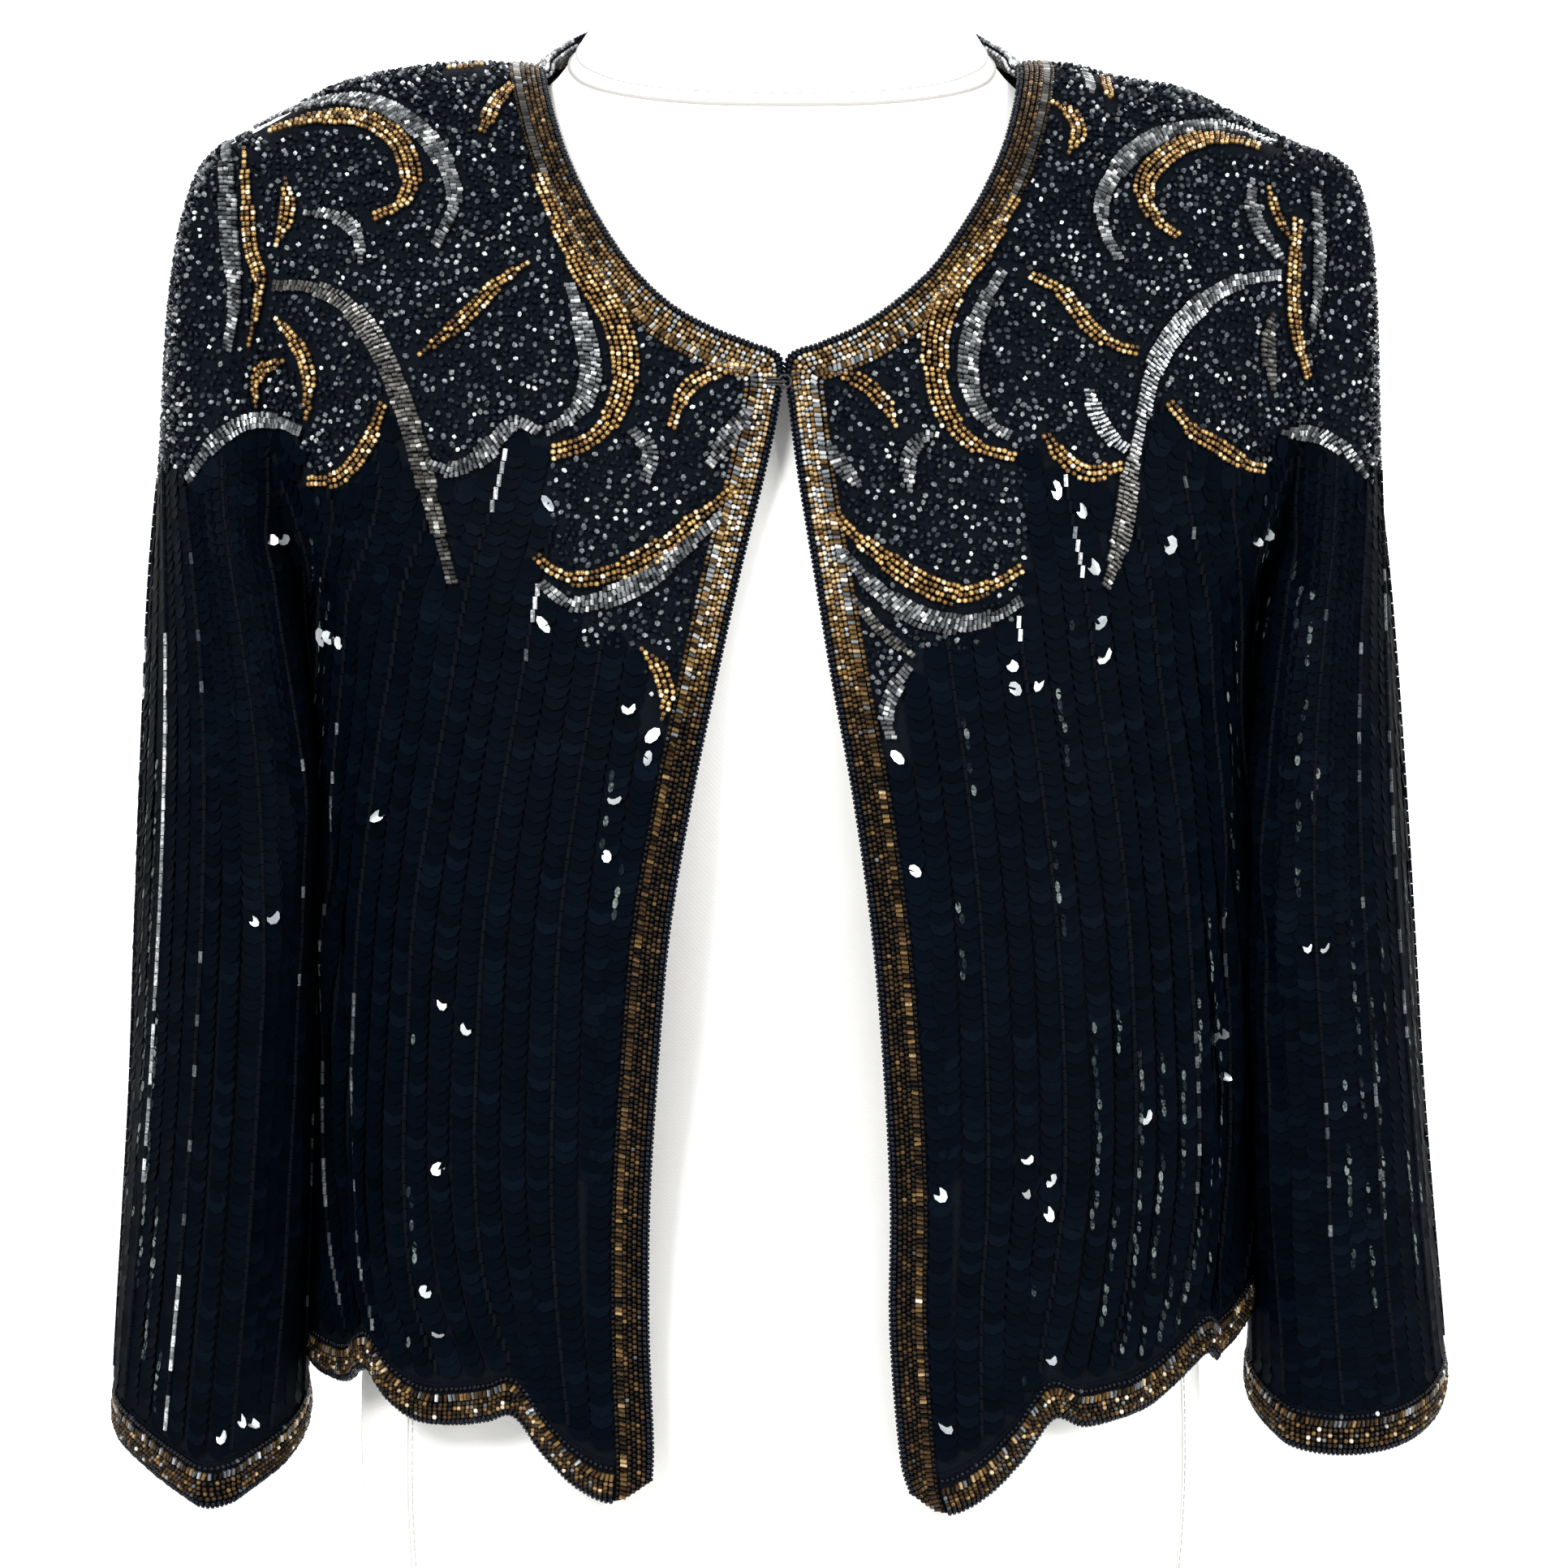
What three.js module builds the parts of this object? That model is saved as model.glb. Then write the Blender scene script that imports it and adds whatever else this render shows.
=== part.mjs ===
// Collarless evening jacket of beaded and sequinned cloth, open down the front,
// standing on a limbless dress form.
// Millimetres, +Z up. The front faces -Y, and "left" is the -X side.
// The origin is the middle of the form's flat base.
import * as THREE from 'three';

// ---------- Driving dimensions ----------
const CLOTH = 1.8; // beaded cloth with its ground, through the wall
const SEAM = 0.3; // gap between two pieces that are sewn together
const ARMHOLE_GAP = 0.55; // the same at the curved armhole, wide enough for its facets
const BAND_WIDTH = 14; // beaded edging round every free edge
const BAND_THICK = 1.4;
const HEM_RISE = 16; // height of the edging over the hem, measured upright
const NECK_HALF = 95; // neck point of the shoulder seam, from the middle
const SHOULDER_HALF = 222; // armhole end of the shoulder seam
const RIDGE_Y = 8; // the shoulder seam lies a little behind the side seam
const NAPE = { y: 59, z: 695 }; // middle of the back neck edge
const SIDE_ANGLE = Math.PI / 2;
const EDGE_LIFT = 8; // the front edge's foot is rounded up from the hem's point
const MITRE_LIMIT = 0.6; // keeps the band from spreading where the edge turns sharply

// Level sections of the body: half width, depth to front and back, and how square
// the section is in front and behind (2 is an ellipse).
const BODY = [
  { h: 90, half: 188.5, front: 119, back: 114, squareFront: 2.5, squareBack: 2.4 },
  { h: 160, half: 188, front: 119, back: 112, squareFront: 2.5, squareBack: 2.4 },
  { h: 230, half: 187.5, front: 119, back: 107, squareFront: 2.5, squareBack: 2.4 },
  { h: 300, half: 187, front: 120, back: 103, squareFront: 2.5, squareBack: 2.4 },
  { h: 380, half: 187, front: 119, back: 100, squareFront: 2.5, squareBack: 2.5 },
  { h: 450, half: 187, front: 113, back: 99, squareFront: 2.6, squareBack: 2.6 },
  { h: 463, half: 190, front: 112, back: 99, squareFront: 2.7, squareBack: 2.6 },
  { h: 498, half: 204, front: 106, back: 98, squareFront: 2.8, squareBack: 2.7 },
  { h: 547, half: 215, front: 96, back: 96, squareFront: 3.0, squareBack: 2.7 },
  { h: 572, half: 219, front: 86, back: 94, squareFront: 3.2, squareBack: 2.8 },
  { h: 597, half: 224, front: 70, back: 89, squareFront: 3.6, squareBack: 2.8 },
  { h: 620, half: 228, front: 53, back: 83, squareFront: 4.0, squareBack: 2.8 },
];

// Height of the shoulder seam on each side at a distance from the middle.
const RIDGE = [
  { x: 85, left: 661, right: 663 },
  { x: 95, left: 663, right: 665 },
  { x: 115, left: 665.5, right: 665.5 },
  { x: 137, left: 664.5, right: 660 },
  { x: 160, left: 661, right: 656 },
  { x: 182, left: 654, right: 645.5 },
  { x: 203, left: 642, right: 634.5 },
  { x: 222, left: 632, right: 624.5 },
];

// Rows of a front panel, from hem to shoulder yoke: height at the front edge, where
// that edge stands on each side (x), and the height and depth of the outer edge,
// which is the side seam up to the armpit and the armhole above it.
const FRONT_ROWS = [
  { edge: 120, left: -55.5, right: 45, side: 168, y: 0 },
  { edge: 136, left: -55, right: 41, side: 184, y: 0 },
  { edge: 180, left: -56.5, right: 37, side: 208, y: 0 },
  { edge: 230, left: -56, right: 37, side: 246, y: 0 },
  { edge: 285, left: -52.5, right: 34, side: 289, y: 0 },
  { edge: 335, left: -48, right: 29.5, side: 332, y: 0 },
  { edge: 385, left: -39.5, right: 22.5, side: 374, y: 0 },
  { edge: 430, left: -30, right: 14.5, side: 414, y: 0 },
  { edge: 470, left: -21, right: 8, side: 450, y: 0 },
  { edge: 505, left: -12, right: 2.5, side: 454, y: -14 },
  { edge: 530, left: -6.5, right: -0.5, side: 463, y: -28 },
  { edge: 549, left: -4.6, right: -1.8, side: 478, y: -39 },
  { edge: 555, left: -16, right: 11, side: 498, y: -47 },
  { edge: 561, left: -31, right: 25, side: 522, y: -51 },
  { edge: 570, left: -46.5, right: 39, side: 547, y: -52 },
  { edge: 583, left: -60, right: 54, side: 572, y: -50 },
  { edge: 597, left: -70, right: 65, side: 597, y: -45 },
  { edge: 612, left: -78.5, right: 75, side: 620, y: -38 },
];

// Columns of a front panel: share of the way from the inner edge of the front band
// to the outer edge, with the height of the hem there on each side. The hem falls to
// a point beside the opening, climbs to a notch and goes on in scallops.
const FRONT_HEM = [
  { s: 0.0, left: 113, right: 107 },
  { s: 0.06, left: 118, right: 113 },
  { s: 0.12, left: 130, right: 126 },
  { s: 0.18, left: 145, right: 142 },
  { s: 0.24, left: 142, right: 138 },
  { s: 0.32, left: 139, right: 139 },
  { s: 0.41, left: 139, right: 142 },
  { s: 0.48, left: 146, right: 150 },
  { s: 0.55, left: 155, right: 159 },
  { s: 0.62, left: 152, right: 154 },
  { s: 0.7, left: 146, right: 152 },
  { s: 0.79, left: 143, right: 157 },
  { s: 0.89, left: 145, right: 165 },
  { s: 1.0, left: 150, right: 168 },
];

// Middle of the back, row by row, and the armhole's depth behind the side seam.
const BACK_ROWS = [
  { middle: 156, side: 168, y: 0 },
  { middle: 172, side: 184, y: 0 },
  { middle: 200, side: 208, y: 0 },
  { middle: 242, side: 246, y: 0 },
  { middle: 288, side: 289, y: 0 },
  { middle: 332, side: 332, y: 0 },
  { middle: 374, side: 374, y: 0 },
  { middle: 414, side: 414, y: 0 },
  { middle: 450, side: 450, y: 0 },
  { middle: 470, side: 454, y: 12 },
  { middle: 490, side: 463, y: 24 },
  { middle: 510, side: 478, y: 34 },
  { middle: 530, side: 498, y: 42 },
  { middle: 549, side: 522, y: 47 },
  { middle: 567, side: 547, y: 50 },
  { middle: 585, side: 572, y: 50 },
  { middle: 603, side: 597, y: 47 },
  { middle: 620, side: 620, y: 42 },
];
const BACK_COLUMNS = 24; // half of them end on the neck edge
const BACK_SCALLOPS = { count: 6, depth: 13, round: 0.7, fade: 8 };
const BACK_NECK = { lean: 0.55, climb: 0.9, curve: 1.2 }; // how its edge stands and rises
const LEFT_DROP = -18; // the left side seam hangs lower at the hem
const YOKE_ROWS = 4; // rows from the yoke section up to the shoulder seam
const NOTCH_FADE = [1, 1, 0.5, 0.2]; // how far the hem's outline is felt above it

// Soft upright flutes where the cloth hangs clear of the waist: place across the
// panel, half width, depth at the hem, and the height where the flute dies out.
const FLUTES = {
  left: [
    { s: 0.3, half: 0.1, depth: -2.5, top: 300 },
    { s: 0.5, half: 0.11, depth: 3, top: 330 },
    { s: 0.74, half: 0.12, depth: -5, top: 360 },
    { s: 1, half: 0.25, depth: 6, top: 440 },
  ],
  right: [
    { s: 0.38, half: 0.1, depth: -2.5, top: 320 },
    { s: 0.56, half: 0.1, depth: 3.5, top: 350 },
    { s: 0.72, half: 0.09, depth: -4.5, top: 380 },
    { s: 0.9, half: 0.1, depth: 3, top: 350 },
    { s: 1, half: 0.2, depth: 2.5, top: 440 },
  ],
  back: [
    { s: -1, half: 0.25, depth: 6, top: 440 },
    { s: -0.62, half: 0.14, depth: 5, top: 360 },
    { s: -0.3, half: 0.13, depth: -4, top: 330 },
    { s: 0.08, half: 0.14, depth: 4, top: 300 },
    { s: 0.42, half: 0.13, depth: -4, top: 340 },
    { s: 0.72, half: 0.12, depth: 4.5, top: 370 },
    { s: 1, half: 0.2, depth: 2.5, top: 440 },
  ],
};

// Sections of a hanging sleeve below its cap: centre, radii across and front to back,
// degrees that its front is turned in over the body, squareness (2 is an ellipse),
// and how the section tilts: its rise for each millimetre outward and backward.
const SLEEVE = {
  left: [
    { z: 478, x: 218, y: -1, across: 28.5, deep: 60, twist: 6, square: 2.2, tiltOut: 1.5, tiltBack: 0 },
    { z: 425, x: 220, y: -7, across: 30, deep: 60, twist: 16, square: 2.2, tiltOut: 1.0, tiltBack: 0 },
    { z: 370, x: 222.5, y: -12, across: 30.5, deep: 58, twist: 21, square: 2.1, tiltOut: 0.5, tiltBack: 0.04 },
    { z: 310, x: 225, y: -14, across: 32, deep: 56, twist: 22, square: 2.0, tiltOut: 0.2, tiltBack: 0.1 },
    { z: 250, x: 227.5, y: -14, across: 33.5, deep: 54, twist: 21, square: 1.9, tiltOut: 0.1, tiltBack: 0.16 },
    { z: 190, x: 230.5, y: -12, across: 36, deep: 52, twist: 19, square: 1.8, tiltOut: 0.05, tiltBack: 0.24 },
    { z: 135, x: 233.5, y: -9, across: 38, deep: 51, twist: 16, square: 1.7, tiltOut: 0.02, tiltBack: 0.3 },
    { z: 119, x: 233.5, y: -9, across: 38, deep: 51, twist: 16, square: 1.7, tiltOut: 0, tiltBack: 0.33 },
  ],
  right: [
    { z: 478, x: 214.5, y: -1, across: 25.5, deep: 60, twist: 6, square: 2.2, tiltOut: 1.5, tiltBack: 0 },
    { z: 425, x: 217, y: -7, across: 27.5, deep: 60, twist: 14, square: 2.2, tiltOut: 1.0, tiltBack: 0 },
    { z: 370, x: 220, y: -11, across: 29, deep: 58, twist: 19, square: 2.2, tiltOut: 0.5, tiltBack: 0 },
    { z: 310, x: 222.5, y: -13, across: 31.5, deep: 56, twist: 20, square: 2.2, tiltOut: 0.2, tiltBack: 0.05 },
    { z: 250, x: 226, y: -13, across: 33.5, deep: 54, twist: 19, square: 2.1, tiltOut: 0.05, tiltBack: 0.1 },
    { z: 190, x: 230, y: -12, across: 36, deep: 51, twist: 20, square: 2.0, tiltOut: 0, tiltBack: 0.2 },
    { z: 143, x: 233, y: -10, across: 38.5, deep: 50, twist: 18, square: 2.0, tiltOut: 0, tiltBack: 0.28 },
    { z: 127, x: 233, y: -10, across: 39, deep: 50, twist: 18, square: 2.0, tiltOut: 0, tiltBack: 0.3 },
  ],
};
const SLEEVE_HEIGHTS = [450, 425, 390, 345, 300, 255, 210, 165]; // sections under the cap
const CAP_ROWS = 6; // rows between the armhole and the first hanging section
const CAP_REACH = { seam: 0.5, section: 1.26 }; // how strongly the cap runs on at each end
const SECTION_STEP = 10; // the cap meets the first section along the sleeve's own fall

// Creases that stand up along a sleeve: place round the section as a share of a turn
// from the body side through the front, reach each way, height, and from where down.
const SLEEVE_CREASES = {
  left: [
    { turn: 0.3, half: 0.13, height: 13, top: 470, full: 300 },
    { turn: 0.66, half: 0.12, height: 4, top: 400, full: 280 },
  ],
  right: [
    { turn: 0.2, half: 0.12, height: 3.5, top: 420, full: 260 },
    { turn: 0.66, half: 0.12, height: 4, top: 400, full: 280 },
  ],
};

// Dress form: level sections with half width, depth to front and back, squareness.
const FORM = [
  { z: 0, half: 160, front: 98, back: 100, square: 2.3 },
  { z: 6, half: 163, front: 101, back: 103, square: 2.3 },
  { z: 50, half: 170, front: 104, back: 106, square: 2.3 },
  { z: 110, half: 173, front: 105, back: 106, square: 2.3 },
  { z: 170, half: 168, front: 102, back: 101, square: 2.3 },
  { z: 230, half: 146, front: 95, back: 88, square: 2.2 },
  { z: 294, half: 124, front: 88, back: 78, square: 2.2 },
  { z: 350, half: 130, front: 92, back: 78, square: 2.2 },
  { z: 405, half: 144, front: 102, back: 82, square: 2.3 },
  { z: 445, half: 152, front: 106, back: 86, square: 2.3 },
  { z: 490, half: 160, front: 98, back: 89, square: 2.3 },
  { z: 540, half: 171, front: 84, back: 88, square: 2.4 },
  { z: 585, half: 176, front: 67, back: 82, square: 2.5 },
  { z: 612, half: 163, front: 53, back: 74, square: 2.6 },
  { z: 633, half: 135, front: 43, back: 64, square: 2.6 },
  { z: 648, half: 105, front: 37, back: 56, square: 2.4 },
  { z: 660, half: 89, front: 35, back: 50, square: 2.2 },
  { z: 675, half: 79, front: 37, back: 48, square: 2.1 },
  { z: 690, half: 70, front: 42, back: 47, square: 2.0 },
  { z: 715, half: 62, front: 46, back: 47, square: 2.0 },
  { z: 738, half: 60, front: 48, back: 48, square: 2.0 },
  { z: 746, half: 55, front: 44, back: 44, square: 2.0 },
  { z: 750, half: 44, front: 34, back: 34, square: 2.0 },
];
const FORM_SIDES = 36;

// Neck fastening: a covered wire eye on one edge and a hook on the other.
const CLASP = { x: -3.2, y: -100.4, z: 541, eyeRadius: 2.4, wire: 0.5 };
// The hook's course, in eye radii across and in clearances out from the eye's plane.
const HOOK_COURSE = [
  { across: -3.1, out: 0 },
  { across: -1.7, out: 0.9 },
  { across: -0.7, out: 1 },
  { across: 0.1, out: 0.75 },
  { across: 0.15, out: 0 },
];
const EYE_SIDES = { section: 6, ring: 16 };
const HOOK_STEPS = 14;
const HOOK_SIDES = 3; // to each half of its round section

// ---------- Materials ----------
const COLOURS = {
  sequins: { color: '#0b1420', roughness: 0.32, metalness: 0.25 },
  bands: { color: '#6d4a1f', roughness: 0.35, metalness: 0.6 },
  jersey: { color: '#f1efeb', roughness: 0.9, metalness: 0 },
  wire: { color: '#101012', roughness: 0.4, metalness: 0.3 },
};
const MATERIALS = {};
for (const [name, look] of Object.entries(COLOURS)) {
  MATERIALS[name] = new THREE.MeshStandardMaterial({ name, ...look });
}

// ---------- Small helpers ----------
// Reads one column of a table at any value of its key, on a smooth curve.
function readTable(table, key, value, column) {
  let i = 0;
  while (i < table.length - 2 && value > table[i + 1][key]) {
    i += 1;
  }
  const slope = (k) => {
    const lo = table[Math.max(k - 1, 0)];
    const hi = table[Math.min(k + 1, table.length - 1)];
    return (hi[column] - lo[column]) / (hi[key] - lo[key]);
  };
  const a = table[i];
  const b = table[i + 1];
  const span = b[key] - a[key];
  const t = THREE.MathUtils.clamp((value - a[key]) / span, 0, 1);
  const t2 = t * t;
  const t3 = t2 * t;
  return (
    (2 * t3 - 3 * t2 + 1) * a[column] +
    (t3 - 2 * t2 + t) * span * slope(i) +
    (3 * t2 - 2 * t3) * b[column] +
    (t3 - t2) * span * slope(i + 1)
  );
}

// A soft hump: 1 in its middle, 0 from `half` outward.
function hump(distance, half) {
  const d = Math.abs(distance) / half;
  return d < 1 ? 0.5 + 0.5 * Math.cos(Math.PI * d) : 0;
}

// A pressed crease: a ridge line with hollow flanks.
function ridgeLine(distance, half) {
  const d = Math.abs(distance) / half;
  return d < 1 ? (1 - d) * (1 - d) : 0;
}

// Cubic from p to q that leaves along `dp` and arrives along `dq`.
function hermite(p, q, dp, dq, u) {
  const u2 = u * u;
  const u3 = u2 * u;
  return new THREE.Vector3()
    .addScaledVector(p, 2 * u3 - 3 * u2 + 1)
    .addScaledVector(dp, u3 - 2 * u2 + u)
    .addScaledVector(q, 3 * u2 - 2 * u3)
    .addScaledVector(dq, u3 - u2);
}

// ---------- Body surface ----------
// Angle 0 is straight ahead (or behind), and a quarter turn is the side seam.
function bodySize(h, facing) {
  return {
    half: readTable(BODY, 'h', h, 'half'),
    depth: readTable(BODY, 'h', h, facing < 0 ? 'front' : 'back'),
    power: 2 / readTable(BODY, 'h', h, facing < 0 ? 'squareFront' : 'squareBack'),
  };
}

function bodyPoint(angle, h, facing) {
  const { half, depth, power } = bodySize(h, facing);
  const across = Math.sign(angle) * Math.abs(Math.sin(angle)) ** power;
  return new THREE.Vector3(half * across, facing * depth * Math.abs(Math.cos(angle)) ** power, h);
}

function angleAtX(x, h, facing) {
  const { half, power } = bodySize(h, facing);
  return Math.sign(x) * Math.asin(Math.min(1, Math.abs(x) / half) ** (1 / power));
}

function angleAtY(y, h, facing) {
  const { depth, power } = bodySize(h, facing);
  return Math.acos(Math.min(1, Math.abs(y) / depth) ** (1 / power));
}

function fluted(point, flutes, s, h) {
  const outward = new THREE.Vector3(point.x, point.y, 0).normalize();
  for (const flute of flutes) {
    const fade = THREE.MathUtils.smoothstep(flute.top - h, 0, flute.top - FRONT_ROWS[0].side);
    point.addScaledVector(outward, flute.depth * hump(s - flute.s, flute.half) * fade);
  }
  return point;
}

function ridgePoint(x, facing) {
  const z = readTable(RIDGE, 'x', Math.abs(x), x < 0 ? 'left' : 'right');
  return new THREE.Vector3(x, RIDGE_Y + (facing * SEAM) / 2, z);
}

// Carries a panel's last two level rows on over the shoulder to its top edge.
function overShoulder(before, last, target, arrive, u) {
  const reach = last.distanceTo(target);
  const leave = last.clone().sub(before).setLength(reach);
  return hermite(last, target, leave, arrive.clone().multiplyScalar(reach), u);
}

// ---------- Front panels ----------
// Points of the band's inner edge lie square to the free edge, one band width in.
function bandInner(rows, k, side) {
  const here = rows[k];
  const before = rows[Math.max(k - 1, 0)];
  const after = rows[Math.min(k + 1, rows.length - 1)];
  const normal = (a, b) => {
    const along = new THREE.Vector2(b.x - a.x, b.h - a.h).normalize();
    return new THREE.Vector2(along.y, -along.x).multiplyScalar(side);
  };
  const inA = k > 0 ? normal(before, here) : normal(here, after);
  const inB = k < rows.length - 1 ? normal(here, after) : inA;
  const mitre = inA.clone().add(inB).normalize();
  const length = BAND_WIDTH / Math.max(mitre.dot(inA), MITRE_LIMIT);
  return { x: here.x + mitre.x * length, h: here.h + mitre.y * length };
}

function frontGrid(side) {
  const name = side < 0 ? 'left' : 'right';
  const facing = -1;
  const edge = FRONT_ROWS.map((row) => ({ x: row[name], h: row.edge }));
  edge[0].h = FRONT_HEM[0][name] + EDGE_LIFT;
  edge[1].h = edge[0].h + HEM_RISE;
  const grid = FRONT_ROWS.map((row, k) => {
    const inner = bandInner(edge, k, side);
    if (k < 2) {
      inner.h = FRONT_HEM[0][name] + k * HEM_RISE;
    }
    const start = angleAtX(inner.x, inner.h, facing);
    const end = side * (row.y === 0 ? SIDE_ANGLE : angleAtY(row.y, row.side, facing));
    const line = [bodyPoint(angleAtX(edge[k].x, edge[k].h, facing), edge[k].h, facing)];
    for (const column of FRONT_HEM) {
      const angle = THREE.MathUtils.lerp(start, end, column.s);
      const level = THREE.MathUtils.lerp(inner.h, row.side, column.s);
      const plain = THREE.MathUtils.lerp(FRONT_HEM[0][name], FRONT_ROWS[0].side, column.s);
      const h = level + (column[name] - plain) * (NOTCH_FADE[k] ?? 0);
      line.push(fluted(bodyPoint(angle, h, facing), FLUTES[name], column.s, h));
    }
    return line;
  });
  const last = grid[grid.length - 1];
  const before = grid[grid.length - 2];
  const arrive = new THREE.Vector3(0, -facing, 0);
  const seam = [NECK_HALF];
  for (const column of FRONT_HEM) {
    seam.push(THREE.MathUtils.lerp(NECK_HALF + BAND_WIDTH, SHOULDER_HALF, column.s));
  }
  for (let k = 1; k <= YOKE_ROWS; k += 1) {
    grid.push(
      seam.map((x, c) => {
        const target = ridgePoint(side * x, facing);
        return overShoulder(before[c], last[c], target, arrive, k / YOKE_ROWS);
      }),
    );
  }
  return grid;
}

// ---------- Back panel ----------
function backHem(s) {
  const place = (s * 0.5 + 0.5) * BACK_SCALLOPS.count;
  const within = place - Math.floor(Math.min(place, BACK_SCALLOPS.count - 1e-6));
  return -BACK_SCALLOPS.depth * Math.sin(Math.PI * within) ** BACK_SCALLOPS.round;
}

// The back panel's top edge: shoulder seams at both ends, neck edge between them.
function backTop(s) {
  const part = Math.abs(s);
  if (part >= 0.5) {
    const x = THREE.MathUtils.lerp(NECK_HALF, SHOULDER_HALF, (part - 0.5) / 0.5);
    return { target: ridgePoint(Math.sign(s) * x, 1), arrive: new THREE.Vector3(0, -1, 0) };
  }
  const turn = (part / 0.5) * SIDE_ANGLE;
  const rise = Math.cos(turn);
  const corner = ridgePoint(s < 0 ? -NECK_HALF : NECK_HALF, 1);
  const target = new THREE.Vector3(
    Math.sign(s) * NECK_HALF * Math.sin(turn),
    THREE.MathUtils.lerp(corner.y, NAPE.y, rise),
    THREE.MathUtils.lerp(corner.z, NAPE.z, rise ** BACK_NECK.curve),
  );
  const arrive = new THREE.Vector3(0, -1 + BACK_NECK.lean * rise, BACK_NECK.climb * rise);
  return { target, arrive: arrive.normalize() };
}

function backGrid() {
  const columns = Array.from({ length: BACK_COLUMNS + 1 }, (_, i) => (2 * i) / BACK_COLUMNS - 1);
  const grid = BACK_ROWS.map((row, k) => {
    const end = row.y === 0 ? SIDE_ANGLE : angleAtY(row.y, row.side, 1);
    return columns.map((s) => {
      const level = THREE.MathUtils.lerp(row.middle, row.side, s * s);
      const drop = backHem(s) * (1 - s ** BACK_SCALLOPS.fade) + LEFT_DROP * Math.max(-s, 0) ** 2;
      const h = level + drop * (NOTCH_FADE[k] ?? 0);
      return fluted(bodyPoint(s * end, h, 1), FLUTES.back, s, h);
    });
  });
  const last = grid[grid.length - 1];
  const before = grid[grid.length - 2];
  for (let k = 1; k <= YOKE_ROWS; k += 1) {
    grid.push(
      columns.map((s, c) => {
        const { target, arrive } = backTop(s);
        return overShoulder(before[c], last[c], target, arrive, k / YOKE_ROWS);
      }),
    );
  }
  return grid;
}

// ---------- Walls ----------
// Normals of a grid of points, from its neighbours; `wrap` joins the last column
// to the first.
function gridNormals(grid, facingOut, wrap) {
  const rows = grid.length;
  const columns = grid[0].length;
  return grid.map((line, r) =>
    line.map((_, c) => {
      const left = wrap ? (c + columns - 1) % columns : Math.max(c - 1, 0);
      const right = wrap ? (c + 1) % columns : Math.min(c + 1, columns - 1);
      const across = line[right].clone().sub(line[left]);
      const up = grid[Math.min(r + 1, rows - 1)][c].clone().sub(grid[Math.max(r - 1, 0)][c]);
      return across.cross(up).normalize().multiplyScalar(facingOut);
    }),
  );
}

// At a side or shoulder seam the wall's edge face stands square to the seam's gap,
// so its normal has no part along Y.
function squareToSeams(normals, isSeam) {
  normals.forEach((line, r) =>
    line.forEach((normal, c) => {
      if (isSeam(r, c)) {
        normal.setY(0).normalize();
      }
    }),
  );
  return normals;
}

function moved(grid, normals, distance) {
  return grid.map((line, r) =>
    line.map((point, c) => point.clone().addScaledVector(normals[r][c], distance)),
  );
}

// A closed wall between two matching grids.
function wallGeometry(outer, inner, wrap) {
  const rows = outer.length;
  const columns = outer[0].length;
  const points = [...outer.flat(), ...inner.flat()];
  const index = [];
  const at = (layer, r, c) => layer * rows * columns + r * columns + (c % columns);
  const quad = (a, b, c, d) => index.push(a, b, c, a, c, d);
  const spans = wrap ? columns : columns - 1;
  for (let r = 0; r < rows - 1; r += 1) {
    for (let c = 0; c < spans; c += 1) {
      quad(at(0, r, c), at(0, r, c + 1), at(0, r + 1, c + 1), at(0, r + 1, c));
      quad(at(1, r, c), at(1, r + 1, c), at(1, r + 1, c + 1), at(1, r, c + 1));
    }
  }
  for (let c = 0; c < spans; c += 1) {
    quad(at(0, 0, c), at(1, 0, c), at(1, 0, c + 1), at(0, 0, c + 1));
    const top = rows - 1;
    quad(at(0, top, c), at(0, top, c + 1), at(1, top, c + 1), at(1, top, c));
  }
  if (!wrap) {
    for (let r = 0; r < rows - 1; r += 1) {
      quad(at(0, r, 0), at(0, r + 1, 0), at(1, r + 1, 0), at(1, r, 0));
      const end = columns - 1;
      quad(at(0, r, end), at(1, r, end), at(1, r + 1, end), at(0, r + 1, end));
    }
  }
  return closedGeometry(points, index);
}

// Faces are turned so that the body's volume is positive.
function closedGeometry(points, index) {
  let volume = 0;
  for (let i = 0; i < index.length; i += 3) {
    const [a, b, c] = [points[index[i]], points[index[i + 1]], points[index[i + 2]]];
    volume += a.dot(b.clone().cross(c));
  }
  if (volume < 0) {
    index.reverse();
  }
  const geometry = new THREE.BufferGeometry();
  geometry.setFromPoints(points);
  geometry.setIndex(index);
  geometry.computeVertexNormals();
  return geometry;
}

// A band that lies on a panel: part of the panel's own grid, moved out. A parted band
// starts a seam's gap clear of the band before it.
function bandGeometry(grid, normals, rows, columns, { wrap = false, parted = false } = {}) {
  const cut = (source) => source.slice(...rows).map((line) => line.slice(...columns));
  const base = moved(cut(grid), cut(normals), SEAM);
  if (parted) {
    for (const line of base) {
      line[0].add(line[1].clone().sub(line[0]).setLength(SEAM));
    }
  }
  const face = moved(base, cut(normals), BAND_THICK);
  return wallGeometry(face, base, wrap);
}

// ---------- Sleeves ----------
function sleeveSection(side, z) {
  const table = [...SLEEVE[side]].reverse();
  const section = {};
  for (const column of ['x', 'y', 'across', 'deep', 'twist', 'square', 'tiltOut', 'tiltBack']) {
    section[column] = readTable(table, 'z', z, column);
  }
  return { ...section, z };
}

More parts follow.
